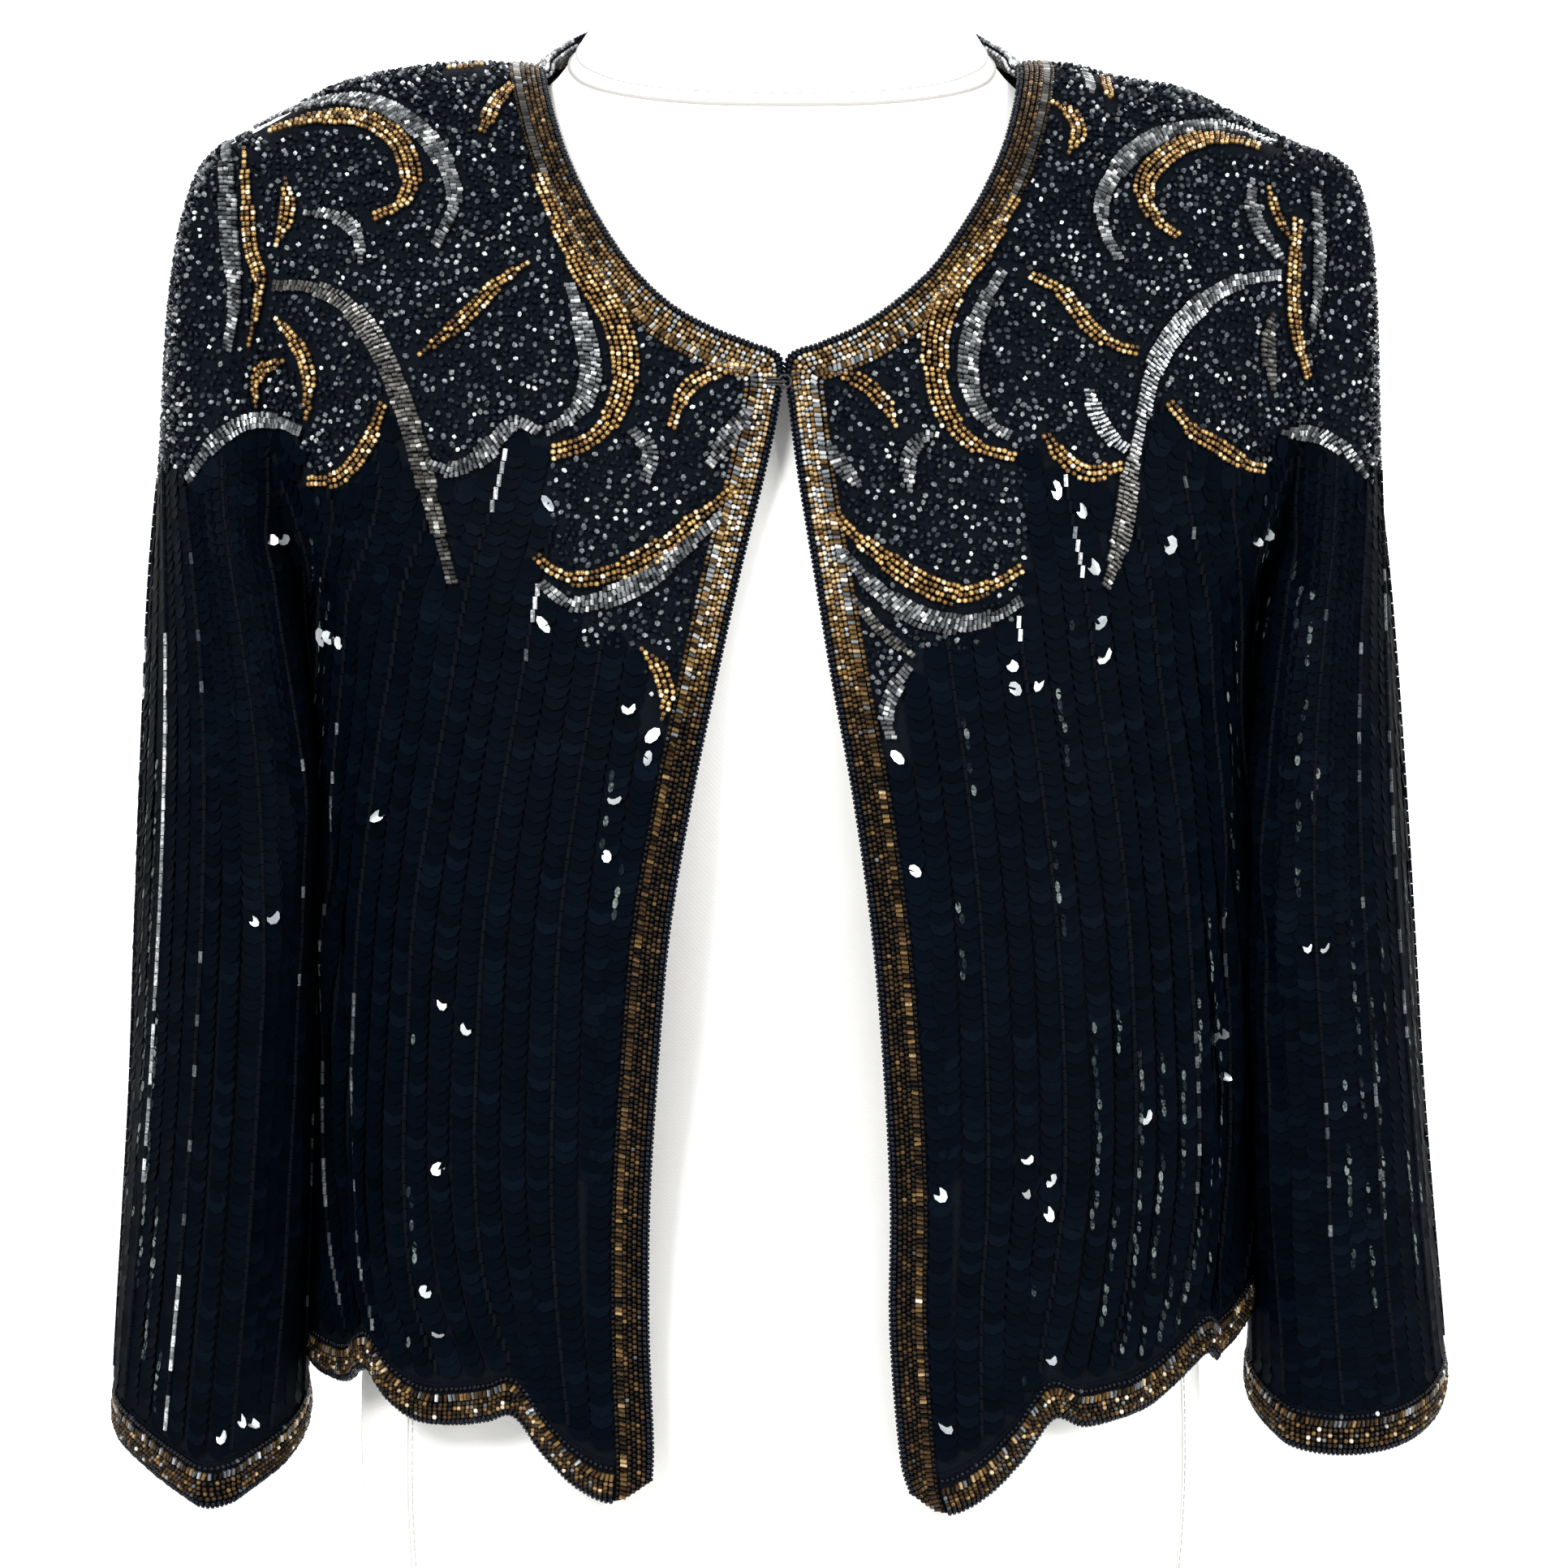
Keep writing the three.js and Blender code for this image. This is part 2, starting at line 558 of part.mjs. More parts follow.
// A point of a hanging section: turn 0 faces the body, a quarter turn is in front.
function sleevePoint(side, z, turn) {
  const section = sleeveSection(side, z);
  const power = 2 / section.square;
  const angle = turn * 2 * Math.PI;
  const cos = Math.cos(angle);
  const sin = Math.sin(angle);
  let across = -Math.sign(cos) * Math.abs(cos) ** power * section.across;
  let deep = -Math.sign(sin) * Math.abs(sin) ** power * section.deep;
  const radius = Math.hypot(across, deep);
  for (const crease of SLEEVE_CREASES[side]) {
    const fade = THREE.MathUtils.smoothstep(crease.top - z, 0, crease.top - crease.full);
    const stretch = (crease.height * ridgeLine(turn - crease.turn, crease.half) * fade) / radius;
    across *= 1 + stretch;
    deep *= 1 + stretch;
  }
  const offset = new THREE.Vector2(across, deep);
  offset.rotateAround(new THREE.Vector2(), -THREE.MathUtils.degToRad(section.twist));
  const rise = section.tiltOut * offset.x + section.tiltBack * offset.y;
  return new THREE.Vector3(section.x + offset.x, section.y + offset.y, z + rise);
}

// The armhole as a loop: from the armpit up the front, over the shoulder seam and
// down the back. Each entry has the panel's point and normal.
function armholeLoop(side, front, frontNormals, back, backNormals) {
  const armpit = FRONT_ROWS.findIndex((row) => row.y !== 0) - 1;
  const top = front.length - 1;
  const frontEnd = front[0].length - 1;
  const backEnd = side < 0 ? 0 : back[0].length - 1;
  const loop = [];
  const join = (r) => ({
    point: front[r][frontEnd].clone().lerp(back[r][backEnd], 0.5),
    normal: frontNormals[r][frontEnd].clone().add(backNormals[r][backEnd]).normalize(),
  });
  loop.push(join(armpit));
  for (let r = armpit + 1; r < top; r += 1) {
    loop.push({ point: front[r][frontEnd], normal: frontNormals[r][frontEnd] });
  }
  loop.push(join(top));
  for (let r = top - 1; r > armpit; r -= 1) {
    loop.push({ point: back[r][backEnd], normal: backNormals[r][backEnd] });
  }
  return loop;
}

function sleeveGrid(side, loop) {
  const name = side < 0 ? 'left' : 'right';
  const count = loop.length;
  const mirror = (point) => point.setX(point.x * side);
  const away = loop.map(({ normal }, i) => {
    const along = loop[(i + 1) % count].point.clone().sub(loop[(i + count - 1) % count].point);
    return along.cross(normal).normalize().multiplyScalar(side);
  });
  const seam = loop.map(({ point }, i) => point.clone().addScaledVector(away[i], ARMHOLE_GAP));
  const first = SLEEVE[name][0].z;
  const below = SLEEVE_HEIGHTS.filter((z) => z < first);
  const grid = [seam];
  for (let r = 1; r <= CAP_ROWS; r += 1) {
    grid.push(
      seam.map((start, i) => {
        const turn = i / count;
        const end = mirror(sleevePoint(name, first, turn));
        const next = mirror(sleevePoint(name, first - SECTION_STEP, turn));
        const reach = start.distanceTo(end);
        const fall = next.sub(end).setLength(reach * CAP_REACH.section);
        const leave = away[i].clone().multiplyScalar(reach * CAP_REACH.seam);
        return hermite(start, end, leave, fall, r / CAP_ROWS);
      }),
    );
  }
  const sections = SLEEVE[name];
  const heights = [...below, sections[sections.length - 2].z, sections[sections.length - 1].z];
  for (const z of heights) {
    grid.push(seam.map((_, i) => mirror(sleevePoint(name, z, i / count))));
  }
  return grid;
}

// ---------- Dress form ----------
function dressForm() {
  const rings = FORM.map((row) =>
    Array.from({ length: FORM_SIDES }, (_, i) => {
      const angle = (i / FORM_SIDES) * 2 * Math.PI;
      const power = 2 / row.square;
      const depth = Math.cos(angle) > 0 ? row.front : row.back;
      return new THREE.Vector3(
        Math.sign(Math.sin(angle)) * Math.abs(Math.sin(angle)) ** power * row.half,
        -Math.sign(Math.cos(angle)) * Math.abs(Math.cos(angle)) ** power * depth,
        row.z,
      );
    }),
  );
  const points = rings.flat();
  const index = [];
  for (let r = 0; r < rings.length - 1; r += 1) {
    for (let c = 0; c < FORM_SIDES; c += 1) {
      const next = (c + 1) % FORM_SIDES;
      const [a, b] = [r * FORM_SIDES + c, r * FORM_SIDES + next];
      const [d, e] = [a + FORM_SIDES, b + FORM_SIDES];
      index.push(a, b, e, a, e, d);
    }
  }
  const ends = [
    { ring: 0, z: FORM[0].z, turned: true },
    { ring: rings.length - 1, z: FORM[FORM.length - 1].z, turned: false },
  ];
  for (const { ring, z, turned } of ends) {
    const centre = points.length;
    points.push(new THREE.Vector3(0, 0, z));
    for (let c = 0; c < FORM_SIDES; c += 1) {
      const a = ring * FORM_SIDES + c;
      const b = ring * FORM_SIDES + ((c + 1) % FORM_SIDES);
      index.push(...(turned ? [b, a, centre] : [a, b, centre]));
    }
  }
  return closedGeometry(points, index);
}

// ---------- Neck fastening ----------
function eyeGeometry() {
  const ring = new THREE.TorusGeometry(CLASP.eyeRadius, CLASP.wire, EYE_SIDES.section, EYE_SIDES.ring);
  return ring.rotateX(Math.PI / 2).translate(CLASP.x, CLASP.y, CLASP.z);
}

// The hook reaches over the eye's wire and its tip turns back through the eye.
function hookGeometry() {
  const section = new THREE.Shape();
  section.absarc(0, 0, CLASP.wire, 0, 2 * Math.PI, false);
  const clearance = 3 * CLASP.wire + SEAM;
  const course = HOOK_COURSE.map(({ across, out }) => {
    const x = CLASP.x + across * CLASP.eyeRadius;
    return new THREE.Vector3(x, CLASP.y - out * clearance, CLASP.z);
  });
  return new THREE.ExtrudeGeometry(section, {
    steps: HOOK_STEPS,
    curveSegments: HOOK_SIDES,
    bevelEnabled: false,
    extrudePath: new THREE.CatmullRomCurve3(course),
  });
}

// ---------- Assembly ----------
const jacket = new THREE.Group();
const made = {};

function addPiece(name, geometry, material) {
  const mesh = new THREE.Mesh(geometry, MATERIALS[material]);
  mesh.name = name;
  jacket.add(mesh);
}

const armpitRow = FRONT_ROWS.findIndex((row) => row.y !== 0) - 1;

const back = backGrid();
const backTopRow = back.length - 1;
const shoulderColumns = BACK_COLUMNS / 4;
// Side seams stand a seam's gap apart, half of it on each panel.
back.forEach((line, r) => {
  if (r <= armpitRow) {
    line[0].y += SEAM / 2;
    line[BACK_COLUMNS].y += SEAM / 2;
  }
});
const backNormals = squareToSeams(gridNormals(back, -1, false), (r, c) => {
  const onSide = r <= armpitRow && (c === 0 || c === BACK_COLUMNS);
  const fromEnd = Math.min(c, BACK_COLUMNS - c);
  return onSide || (r === backTopRow && fromEnd <= shoulderColumns);
});
addPiece('back', wallGeometry(back, moved(back, backNormals, -CLOTH), false), 'sequins');
addPiece('hem_band_back', bandGeometry(back, backNormals, [0, 2], [0]), 'bands');
addPiece(
  'neck_band_back',
  bandGeometry(back, backNormals, [-2], [shoulderColumns, -shoulderColumns]),
  'bands',
);

for (const side of [-1, 1]) {
  const name = side < 0 ? 'left' : 'right';
  const front = frontGrid(side);
  front.forEach((line, r) => {
    if (r <= armpitRow) {
      line[line.length - 1].y -= SEAM / 2;
    }
  });
  const end = front[0].length - 1;
  const normals = squareToSeams(gridNormals(front, side, false), (r, c) => {
    return (r <= armpitRow && c === end) || r === front.length - 1;
  });
  addPiece(`front_${name}`, wallGeometry(front, moved(front, normals, -CLOTH), false), 'sequins');
  addPiece(`front_band_${name}`, bandGeometry(front, normals, [0], [0, 2]), 'bands');
  made[name] = { front, normals };

  const loop = armholeLoop(side, front, normals, back, backNormals);
  const sleeve = sleeveGrid(side, loop);
  const sleeveNormals = gridNormals(sleeve, -side, true);
  loop.forEach(({ normal }, i) => sleeveNormals[0][i].copy(normal));
  addPiece(
    `sleeve_${name}`,
    wallGeometry(sleeve, moved(sleeve, sleeveNormals, -CLOTH), true),
    'sequins',
  );
  addPiece(`cuff_band_${name}`, bandGeometry(sleeve, sleeveNormals, [-2], [0], { wrap: true }), 'bands');
}

for (const name of ['left', 'right']) {
  const { front, normals } = made[name];
  const band = bandGeometry(front, normals, [0, 2], [1], { parted: true });
  addPiece(`hem_band_${name}`, band, 'bands');
}

addPiece('neck_eye', eyeGeometry(), 'wire');
addPiece('neck_hook', hookGeometry(), 'wire');
addPiece('dress_form', dressForm(), 'jersey');

export default jacket;
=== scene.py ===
"""Beaded evening jacket on a dress form: cloth, sequins, beads, edgings, stand and studio."""

import math
from itertools import product
from operator import add

import bpy
import numpy as np
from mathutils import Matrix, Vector
from mathutils.bvhtree import BVHTree


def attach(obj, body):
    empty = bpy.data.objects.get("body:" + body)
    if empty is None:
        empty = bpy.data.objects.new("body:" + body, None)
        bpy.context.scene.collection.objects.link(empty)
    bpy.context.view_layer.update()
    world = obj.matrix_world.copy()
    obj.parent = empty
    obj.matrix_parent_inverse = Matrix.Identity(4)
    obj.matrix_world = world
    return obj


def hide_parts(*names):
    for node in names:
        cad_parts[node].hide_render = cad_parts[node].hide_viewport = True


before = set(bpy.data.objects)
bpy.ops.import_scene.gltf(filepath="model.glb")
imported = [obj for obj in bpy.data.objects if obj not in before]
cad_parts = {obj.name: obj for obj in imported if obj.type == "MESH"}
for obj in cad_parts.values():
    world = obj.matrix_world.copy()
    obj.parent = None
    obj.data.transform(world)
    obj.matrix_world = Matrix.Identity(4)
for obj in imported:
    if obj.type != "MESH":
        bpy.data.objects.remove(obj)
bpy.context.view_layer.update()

# Lengths are millimetres up to the point where a mesh is made; floor, camera and lamps are set
# up in metres. "left" is the -X side.
METRE = 1000.0
rng = np.random.default_rng(1549)


def table(columns, *rows):
    """Rows with named columns."""
    names = columns.split()
    return [dict(zip(names, row)) for row in rows]


# ---------- Sizes shared with the solids ----------
CLOTH = 1.2  # thickness of the shell that shows
SEAM = 0.3
BAND_WIDTH = 14.0
HEM_RISE = 16.0
NECK_HALF = 95.0
SHOULDER_HALF = 222.0
RIDGE_Y = 8.0
NAPE_Y, NAPE_Z = 59.0, 695.0
EDGE_LIFT = 8.0
MITRE_LIMIT = 0.6
YOKE_ROWS = 4
NOTCH_FADE = (1, 1, 0.5, 0.2)
BACK_COLUMNS = 24
SCALLOP_COUNT, SCALLOP_DEPTH, SCALLOP_ROUND, SCALLOP_FADE = 6, 13.0, 0.7, 8
NECK_LEAN, NECK_CLIMB, NECK_CURVE = 0.55, 0.9, 1.2
LEFT_DROP = -18.0
ARMHOLE_GAP = 0.55
CAP_ROWS = 6
CAP_SEAM, CAP_SECTION, SECTION_STEP = 0.5, 1.26, 10.0

# Level sections of the jacket's body.
BODY = table(
    "h half front back squareFront squareBack",
    (90, 188.5, 119, 114, 2.5, 2.4), (160, 188, 119, 112, 2.5, 2.4), (230, 187.5, 119, 107, 2.5, 2.4),
    (300, 187, 120, 103, 2.5, 2.4), (380, 187, 119, 100, 2.5, 2.5), (450, 187, 113, 99, 2.6, 2.6),
    (463, 190, 112, 99, 2.7, 2.6), (498, 204, 106, 98, 2.8, 2.7), (547, 215, 96, 96, 3.0, 2.7),
    (572, 219, 86, 94, 3.2, 2.8), (597, 224, 70, 89, 3.6, 2.8), (620, 228, 53, 83, 4.0, 2.8),
)
# Height of the shoulder seam at a distance from the middle.
RIDGE = table(
    "x left right",
    (85, 661, 663), (95, 663, 665), (115, 665.5, 665.5), (137, 664.5, 660), (160, 661, 656),
    (182, 654, 645.5), (203, 642, 634.5), (222, 632, 624.5),
)
# Rows of a front: height at its free edge, that edge's x on each side, and the outer edge.
FRONT_ROWS = table(
    "edge left right side y",
    (120, -55.5, 45, 168, 0), (136, -55, 41, 184, 0), (180, -56.5, 37, 208, 0),
    (230, -56, 37, 246, 0), (285, -52.5, 34, 289, 0), (335, -48, 29.5, 332, 0),
    (385, -39.5, 22.5, 374, 0), (430, -30, 14.5, 414, 0), (470, -21, 8, 450, 0),
    (505, -12, 2.5, 454, -14), (530, -6.5, -0.5, 463, -28), (549, -4.6, -1.8, 478, -39),
    (555, -16, 11, 498, -47), (561, -31, 25, 522, -51), (570, -46.5, 39, 547, -52),
    (583, -60, 54, 572, -50), (597, -70, 65, 597, -45), (612, -78.5, 75, 620, -38),
)
# Columns of a front: share of its breadth, and the hem's height there on each side.
FRONT_HEM = table(
    "s left right",
    (0.0, 113, 107), (0.06, 118, 113), (0.12, 130, 126), (0.18, 145, 142), (0.24, 142, 138),
    (0.32, 139, 139), (0.41, 139, 142), (0.48, 146, 150), (0.55, 155, 159), (0.62, 152, 154),
    (0.7, 146, 152), (0.79, 143, 157), (0.89, 145, 165), (1.0, 150, 168),
)
# Rows of the back: height in the middle, and the outer edge's height and depth.
BACK_ROWS = table(
    "middle side y",
    (156, 168, 0), (172, 184, 0), (200, 208, 0), (242, 246, 0), (288, 289, 0), (332, 332, 0),
    (374, 374, 0), (414, 414, 0), (450, 450, 0), (470, 454, 12), (490, 463, 24), (510, 478, 34),
    (530, 498, 42), (549, 522, 47), (567, 547, 50), (585, 572, 50), (603, 597, 47), (620, 620, 42),
)
# Upright flutes: place across the panel, half width, depth at the hem, where they end.
FLUTES = {
    "left": table(
        "s half depth top",
        (0.3, 0.1, -2.5, 300), (0.5, 0.11, 3, 330), (0.74, 0.12, -5, 360), (1, 0.25, 6, 440),
    ),
    "right": table(
        "s half depth top",
        (0.38, 0.1, -2.5, 320), (0.56, 0.1, 3.5, 350), (0.72, 0.09, -4.5, 380), (0.9, 0.1, 3, 350),
        (1, 0.2, 2.5, 440),
    ),
    "back": table(
        "s half depth top",
        (-1, 0.25, 6, 440), (-0.62, 0.14, 5, 360), (-0.3, 0.13, -4, 330), (0.08, 0.14, 4, 300),
        (0.42, 0.13, -4, 340), (0.72, 0.12, 4.5, 370), (1, 0.2, 2.5, 440),
    ),
}
# Sections of a hanging sleeve.
SLEEVE = {
    "left": table(
        "z x y across deep twist square tiltOut tiltBack",
        (478, 218, -1, 28.5, 60, 6, 2.2, 1.5, 0), (425, 220, -7, 30, 60, 16, 2.2, 1.0, 0),
        (370, 222.5, -12, 30.5, 58, 21, 2.1, 0.5, 0.04), (310, 225, -14, 32, 56, 22, 2.0, 0.2, 0.1),
        (250, 227.5, -14, 33.5, 54, 21, 1.9, 0.1, 0.16), (190, 230.5, -12, 36, 52, 19, 1.8, 0.05, 0.24),
        (135, 233.5, -9, 38, 51, 16, 1.7, 0.02, 0.3), (119, 233.5, -9, 38, 51, 16, 1.7, 0, 0.33),
    ),
    "right": table(
        "z x y across deep twist square tiltOut tiltBack",
        (478, 214.5, -1, 25.5, 60, 6, 2.2, 1.5, 0), (425, 217, -7, 27.5, 60, 14, 2.2, 1.0, 0),
        (370, 220, -11, 29, 58, 19, 2.2, 0.5, 0), (310, 222.5, -13, 31.5, 56, 20, 2.2, 0.2, 0.05),
        (250, 226, -13, 33.5, 54, 19, 2.1, 0.05, 0.1), (190, 230, -12, 36, 51, 20, 2.0, 0, 0.2),
        (143, 233, -10, 38.5, 50, 18, 2.0, 0, 0.28), (127, 233, -10, 39, 50, 18, 2.0, 0, 0.3),
    ),
}
SLEEVE_HEIGHTS = (450, 425, 390, 345, 300, 255, 210, 165)
# Creases that stand up along a sleeve: turn, half width, height, start, full from.
SLEEVE_CREASES = {
    "left": table(
        "turn half height top full",
        (0.3, 0.13, 13, 470, 300), (0.66, 0.12, 4, 400, 280),
    ),
    "right": table(
        "turn half height top full",
        (0.2, 0.12, 3.5, 420, 260), (0.66, 0.12, 4, 400, 280),
    ),
}
# Level sections of the dress form.
FORM = table(
    "z half front back square",
    (0, 160, 98, 100, 2.3), (6, 163, 101, 103, 2.3), (50, 170, 104, 106, 2.3), (110, 173, 105, 106, 2.3),
    (170, 168, 102, 101, 2.3), (230, 146, 95, 88, 2.2), (294, 124, 88, 78, 2.2), (350, 130, 92, 78, 2.2),
    (405, 144, 102, 82, 2.3), (445, 152, 106, 86, 2.3), (490, 160, 98, 89, 2.3), (540, 171, 84, 88, 2.4),
    (585, 176, 67, 82, 2.5), (612, 163, 53, 74, 2.6), (633, 135, 43, 64, 2.6), (648, 105, 37, 56, 2.4),
    (660, 89, 35, 50, 2.2), (675, 79, 37, 48, 2.1), (690, 70, 42, 47, 2.0), (715, 62, 46, 47, 2.0),
    (738, 60, 48, 48, 2.0), (746, 55, 44, 44, 2.0), (750, 44, 34, 34, 2.0),
)
CLASP_X, CLASP_Y, CLASP_Z, EYE_RADIUS, WIRE = -3.2, -100.4, 541.0, 2.4, 0.5


# ---------- Panels, as in the solids ----------
def read(rows, key, value, column):
    """One column of a table at any value of its key, on a smooth curve."""
    i = 0
    while i < len(rows) - 2 and value > rows[i + 1][key]:
        i += 1

    def slope(k):
        lo, hi = rows[max(k - 1, 0)], rows[min(k + 1, len(rows) - 1)]
        return (hi[column] - lo[column]) / (hi[key] - lo[key])

    a, b = rows[i], rows[i + 1]
    span = b[key] - a[key]
    t = min(max((value - a[key]) / span, 0.0), 1.0)
    t2, t3 = t * t, t * t * t
    return (
        (2 * t3 - 3 * t2 + 1) * a[column]
        + (t3 - 2 * t2 + t) * span * slope(i)
        + (3 * t2 - 2 * t3) * b[column]
        + (t3 - t2) * span * slope(i + 1)
    )


def mix(a, b, t):
    return a + (b - a) * t


def smoothstep(t):
    t = np.clip(t, 0.0, 1.0)
    return t * t * (3 - 2 * t)


def hump(distance, half):
    d = abs(distance) / half
    return 0.5 + 0.5 * math.cos(math.pi * d) if d < 1 else 0.0


def unit(v):
    v = np.asarray(v, float)
    return v / np.maximum(np.linalg.norm(v, axis=-1, keepdims=True), 1e-9)


def hermite(p, q, dp, dq, u):
    u2, u3 = u * u, u * u * u
    return p * (2 * u3 - 3 * u2 + 1) + dp * (u3 - 2 * u2 + u) + q * (3 * u2 - 2 * u3) + dq * (u3 - u2)


def signed_power(value, power):
    return math.copysign(abs(value) ** power, value)


def straight(rows, key, column, value):
    """One column of a table at any value of its key, on straight lines."""
    return np.interp(value, [row[key] for row in rows], [row[column] for row in rows])


def quads_of(index):
    """Quads between the neighbours in a grid of point numbers."""
    return np.stack([index[:-1, :-1], index[:-1, 1:], index[1:, 1:], index[1:, :-1]], -1).reshape(-1, 4)


def read_path(path, where):
    """Points of a path at fractions of its index."""
    return np.stack([np.interp(where, np.arange(len(path)), path[:, k]) for k in range(3)], -1)


def turns_of(count):
    """Angles all round, evenly apart."""
    return np.arange(count) * 2 * math.pi / count


def body_size(h, facing):
    depth, square = ("front", "squareFront") if facing < 0 else ("back", "squareBack")
    return read(BODY, "h", h, "half"), read(BODY, "h", h, depth), 2 / read(BODY, "h", h, square)


def body_point(angle, h, facing):
    half, depth, power = body_size(h, facing)
    x = half * signed_power(math.sin(angle), power)
    return np.array([x, facing * depth * abs(math.cos(angle)) ** power, h])


def angle_at_x(x, h, facing):
    half, _, power = body_size(h, facing)
    return math.copysign(math.asin(min(1.0, abs(x) / half) ** (1 / power)), x)


def angle_at_y(y, h, facing):
    _, depth, power = body_size(h, facing)
    return math.acos(min(1.0, abs(y) / depth) ** (1 / power))


def fluted(point, flutes, s, h):
    outward = unit([point[0], point[1], 0.0])
    for flute in flutes:
        fade = smoothstep((flute["top"] - h) / (flute["top"] - FRONT_ROWS[0]["side"]))
        point = point + outward * (flute["depth"] * hump(s - flute["s"], flute["half"]) * fade)
    return point


def ridge_point(x, facing):
    height = read(RIDGE, "x", abs(x), "left" if x < 0 else "right")
    return np.array([x, RIDGE_Y + facing * SEAM / 2, height])


def over_shoulder(before, last, target, arrive, u):
    reach = np.linalg.norm(target - last)
    return hermite(last, target, unit(last - before) * reach, arrive * reach, u)


def band_inner(edge, k, side):
    """The band's inner edge, one band width square in from the free edge."""

    def normal(a, b):
        along = unit([b[0] - a[0], b[1] - a[1]])
        return np.array([along[1], -along[0]]) * side

    last = len(edge) - 1
    before = normal(edge[max(k - 1, 0)], edge[k]) if k > 0 else normal(edge[0], edge[1])
    after = normal(edge[k], edge[min(k + 1, last)]) if k < last else before
    mitre = unit(before + after)
    return edge[k] + mitre * BAND_WIDTH / max(float(mitre @ before), MITRE_LIMIT)


def notch_fade(k):
    """How much of the hem's notches is left in a row."""
    return NOTCH_FADE[k] if k < len(NOTCH_FADE) else 0


def side_angle(row, facing):
    """Where a row ends: at the side seam, or on the armhole."""
    return math.pi / 2 if row["y"] == 0 else angle_at_y(row["y"], row["side"], facing)


def with_shoulder(grid, tops):
    """The rows with those over the shoulder: tops are their ends and the way they arrive there."""
    spans = list(zip(grid[-2], grid[-1], tops))
    for k in range(1, YOKE_ROWS + 1):
        grid.append([over_shoulder(before, last, *top, k / YOKE_ROWS) for before, last, top in spans])
    return np.array(grid)


def front_grid(side):
    name = "left" if side < 0 else "right"
    edge = [np.array([row[name], row["edge"]], float) for row in FRONT_ROWS]
    edge[0][1] = FRONT_HEM[0][name] + EDGE_LIFT
    edge[1][1] = edge[0][1] + HEM_RISE
    grid = []
    for k, row in enumerate(FRONT_ROWS):
        inner = band_inner(edge, k, side)
        if k < 2:
            inner[1] = FRONT_HEM[0][name] + k * HEM_RISE
        start = angle_at_x(inner[0], inner[1], -1)
        end = side * side_angle(row, -1)
        line = [body_point(angle_at_x(edge[k][0], edge[k][1], -1), edge[k][1], -1)]
        for column in FRONT_HEM:
            level = mix(inner[1], row["side"], column["s"])
            plain = mix(FRONT_HEM[0][name], FRONT_ROWS[0]["side"], column["s"])
            h = level + (column[name] - plain) * notch_fade(k)
            point = body_point(mix(start, end, column["s"]), h, -1)
            line.append(fluted(point, FLUTES[name], column["s"], h))
        if row["y"] == 0:
            line[-1][1] -= SEAM / 2
        grid.append(line)
    seam = [NECK_HALF] + [mix(NECK_HALF + BAND_WIDTH, SHOULDER_HALF, c["s"]) for c in FRONT_HEM]
    return with_shoulder(grid, [(ridge_point(side * x, -1), np.array([0.0, 1.0, 0.0])) for x in seam])


def back_hem(s):
    place = (s * 0.5 + 0.5) * SCALLOP_COUNT
    within = place - math.floor(min(place, SCALLOP_COUNT - 1e-6))
    return -SCALLOP_DEPTH * max(math.sin(math.pi * within), 0.0) ** SCALLOP_ROUND


def back_top(s):
    """The back's top edge: shoulder seams at both ends, the neck edge between them."""
    part = abs(s)
    if part >= 0.5:
        x = mix(NECK_HALF, SHOULDER_HALF, (part - 0.5) / 0.5)
        return ridge_point(math.copysign(x, s), 1), np.array([0.0, -1.0, 0.0])
    turn = part * math.pi
    rise = math.cos(turn)
    corner = ridge_point(math.copysign(NECK_HALF, s), 1)
    x = math.copysign(NECK_HALF * math.sin(turn), s)
    target = np.array([x, mix(corner[1], NAPE_Y, rise), mix(corner[2], NAPE_Z, rise**NECK_CURVE)])
    return target, unit([0.0, -1 + NECK_LEAN * rise, NECK_CLIMB * rise])


def back_grid():
    places = [2 * i / BACK_COLUMNS - 1 for i in range(BACK_COLUMNS + 1)]
    grid = []
    for k, row in enumerate(BACK_ROWS):
        end = side_angle(row, 1)
        line = []
        for s in places:
            drop = back_hem(s) * (1 - abs(s) ** SCALLOP_FADE) + LEFT_DROP * max(-s, 0.0) ** 2
            h = mix(row["middle"], row["side"], s * s) + drop * notch_fade(k)
            line.append(fluted(body_point(s * end, h, 1), FLUTES["back"], s, h))
        if row["y"] == 0:
            line[0][1] += SEAM / 2
            line[-1][1] += SEAM / 2
        grid.append(line)
    return with_shoulder(grid, [back_top(s) for s in places])


def grid_normals(grid, facing_out):
    up = np.gradient(grid, axis=0)
    across = np.gradient(grid, axis=1)
    return unit(np.cross(across, up)) * facing_out


def sleeve_point(name, z, turn):
    """A point of a hanging section: turn 0 faces the body, a quarter turn is in front."""
    rows = SLEEVE[name][::-1]
    part = {key: read(rows, "z", z, key) for key in rows[0] if key != "z"}
    power = 2 / part["square"]
    angle = turn * 2 * math.pi
    across = -signed_power(math.cos(angle), power) * part["across"]
    deep = -signed_power(math.sin(angle), power) * part["deep"]
    radius = math.hypot(across, deep)
    for crease in SLEEVE_CREASES[name]:
        fade = smoothstep((crease["top"] - z) / (crease["top"] - crease["full"]))
        near = max(1 - abs(turn - crease["turn"]) / crease["half"], 0.0)
        stretch = 1 + crease["height"] * near * near * fade / radius
        across, deep = across * stretch, deep * stretch
    twist = -math.radians(part["twist"])
    x = across * math.cos(twist) - deep * math.sin(twist)
    y = across * math.sin(twist) + deep * math.cos(twist)
    rise = part["tiltOut"] * x + part["tiltBack"] * y
    return np.array([part["x"] + x, part["y"] + y, z + rise])


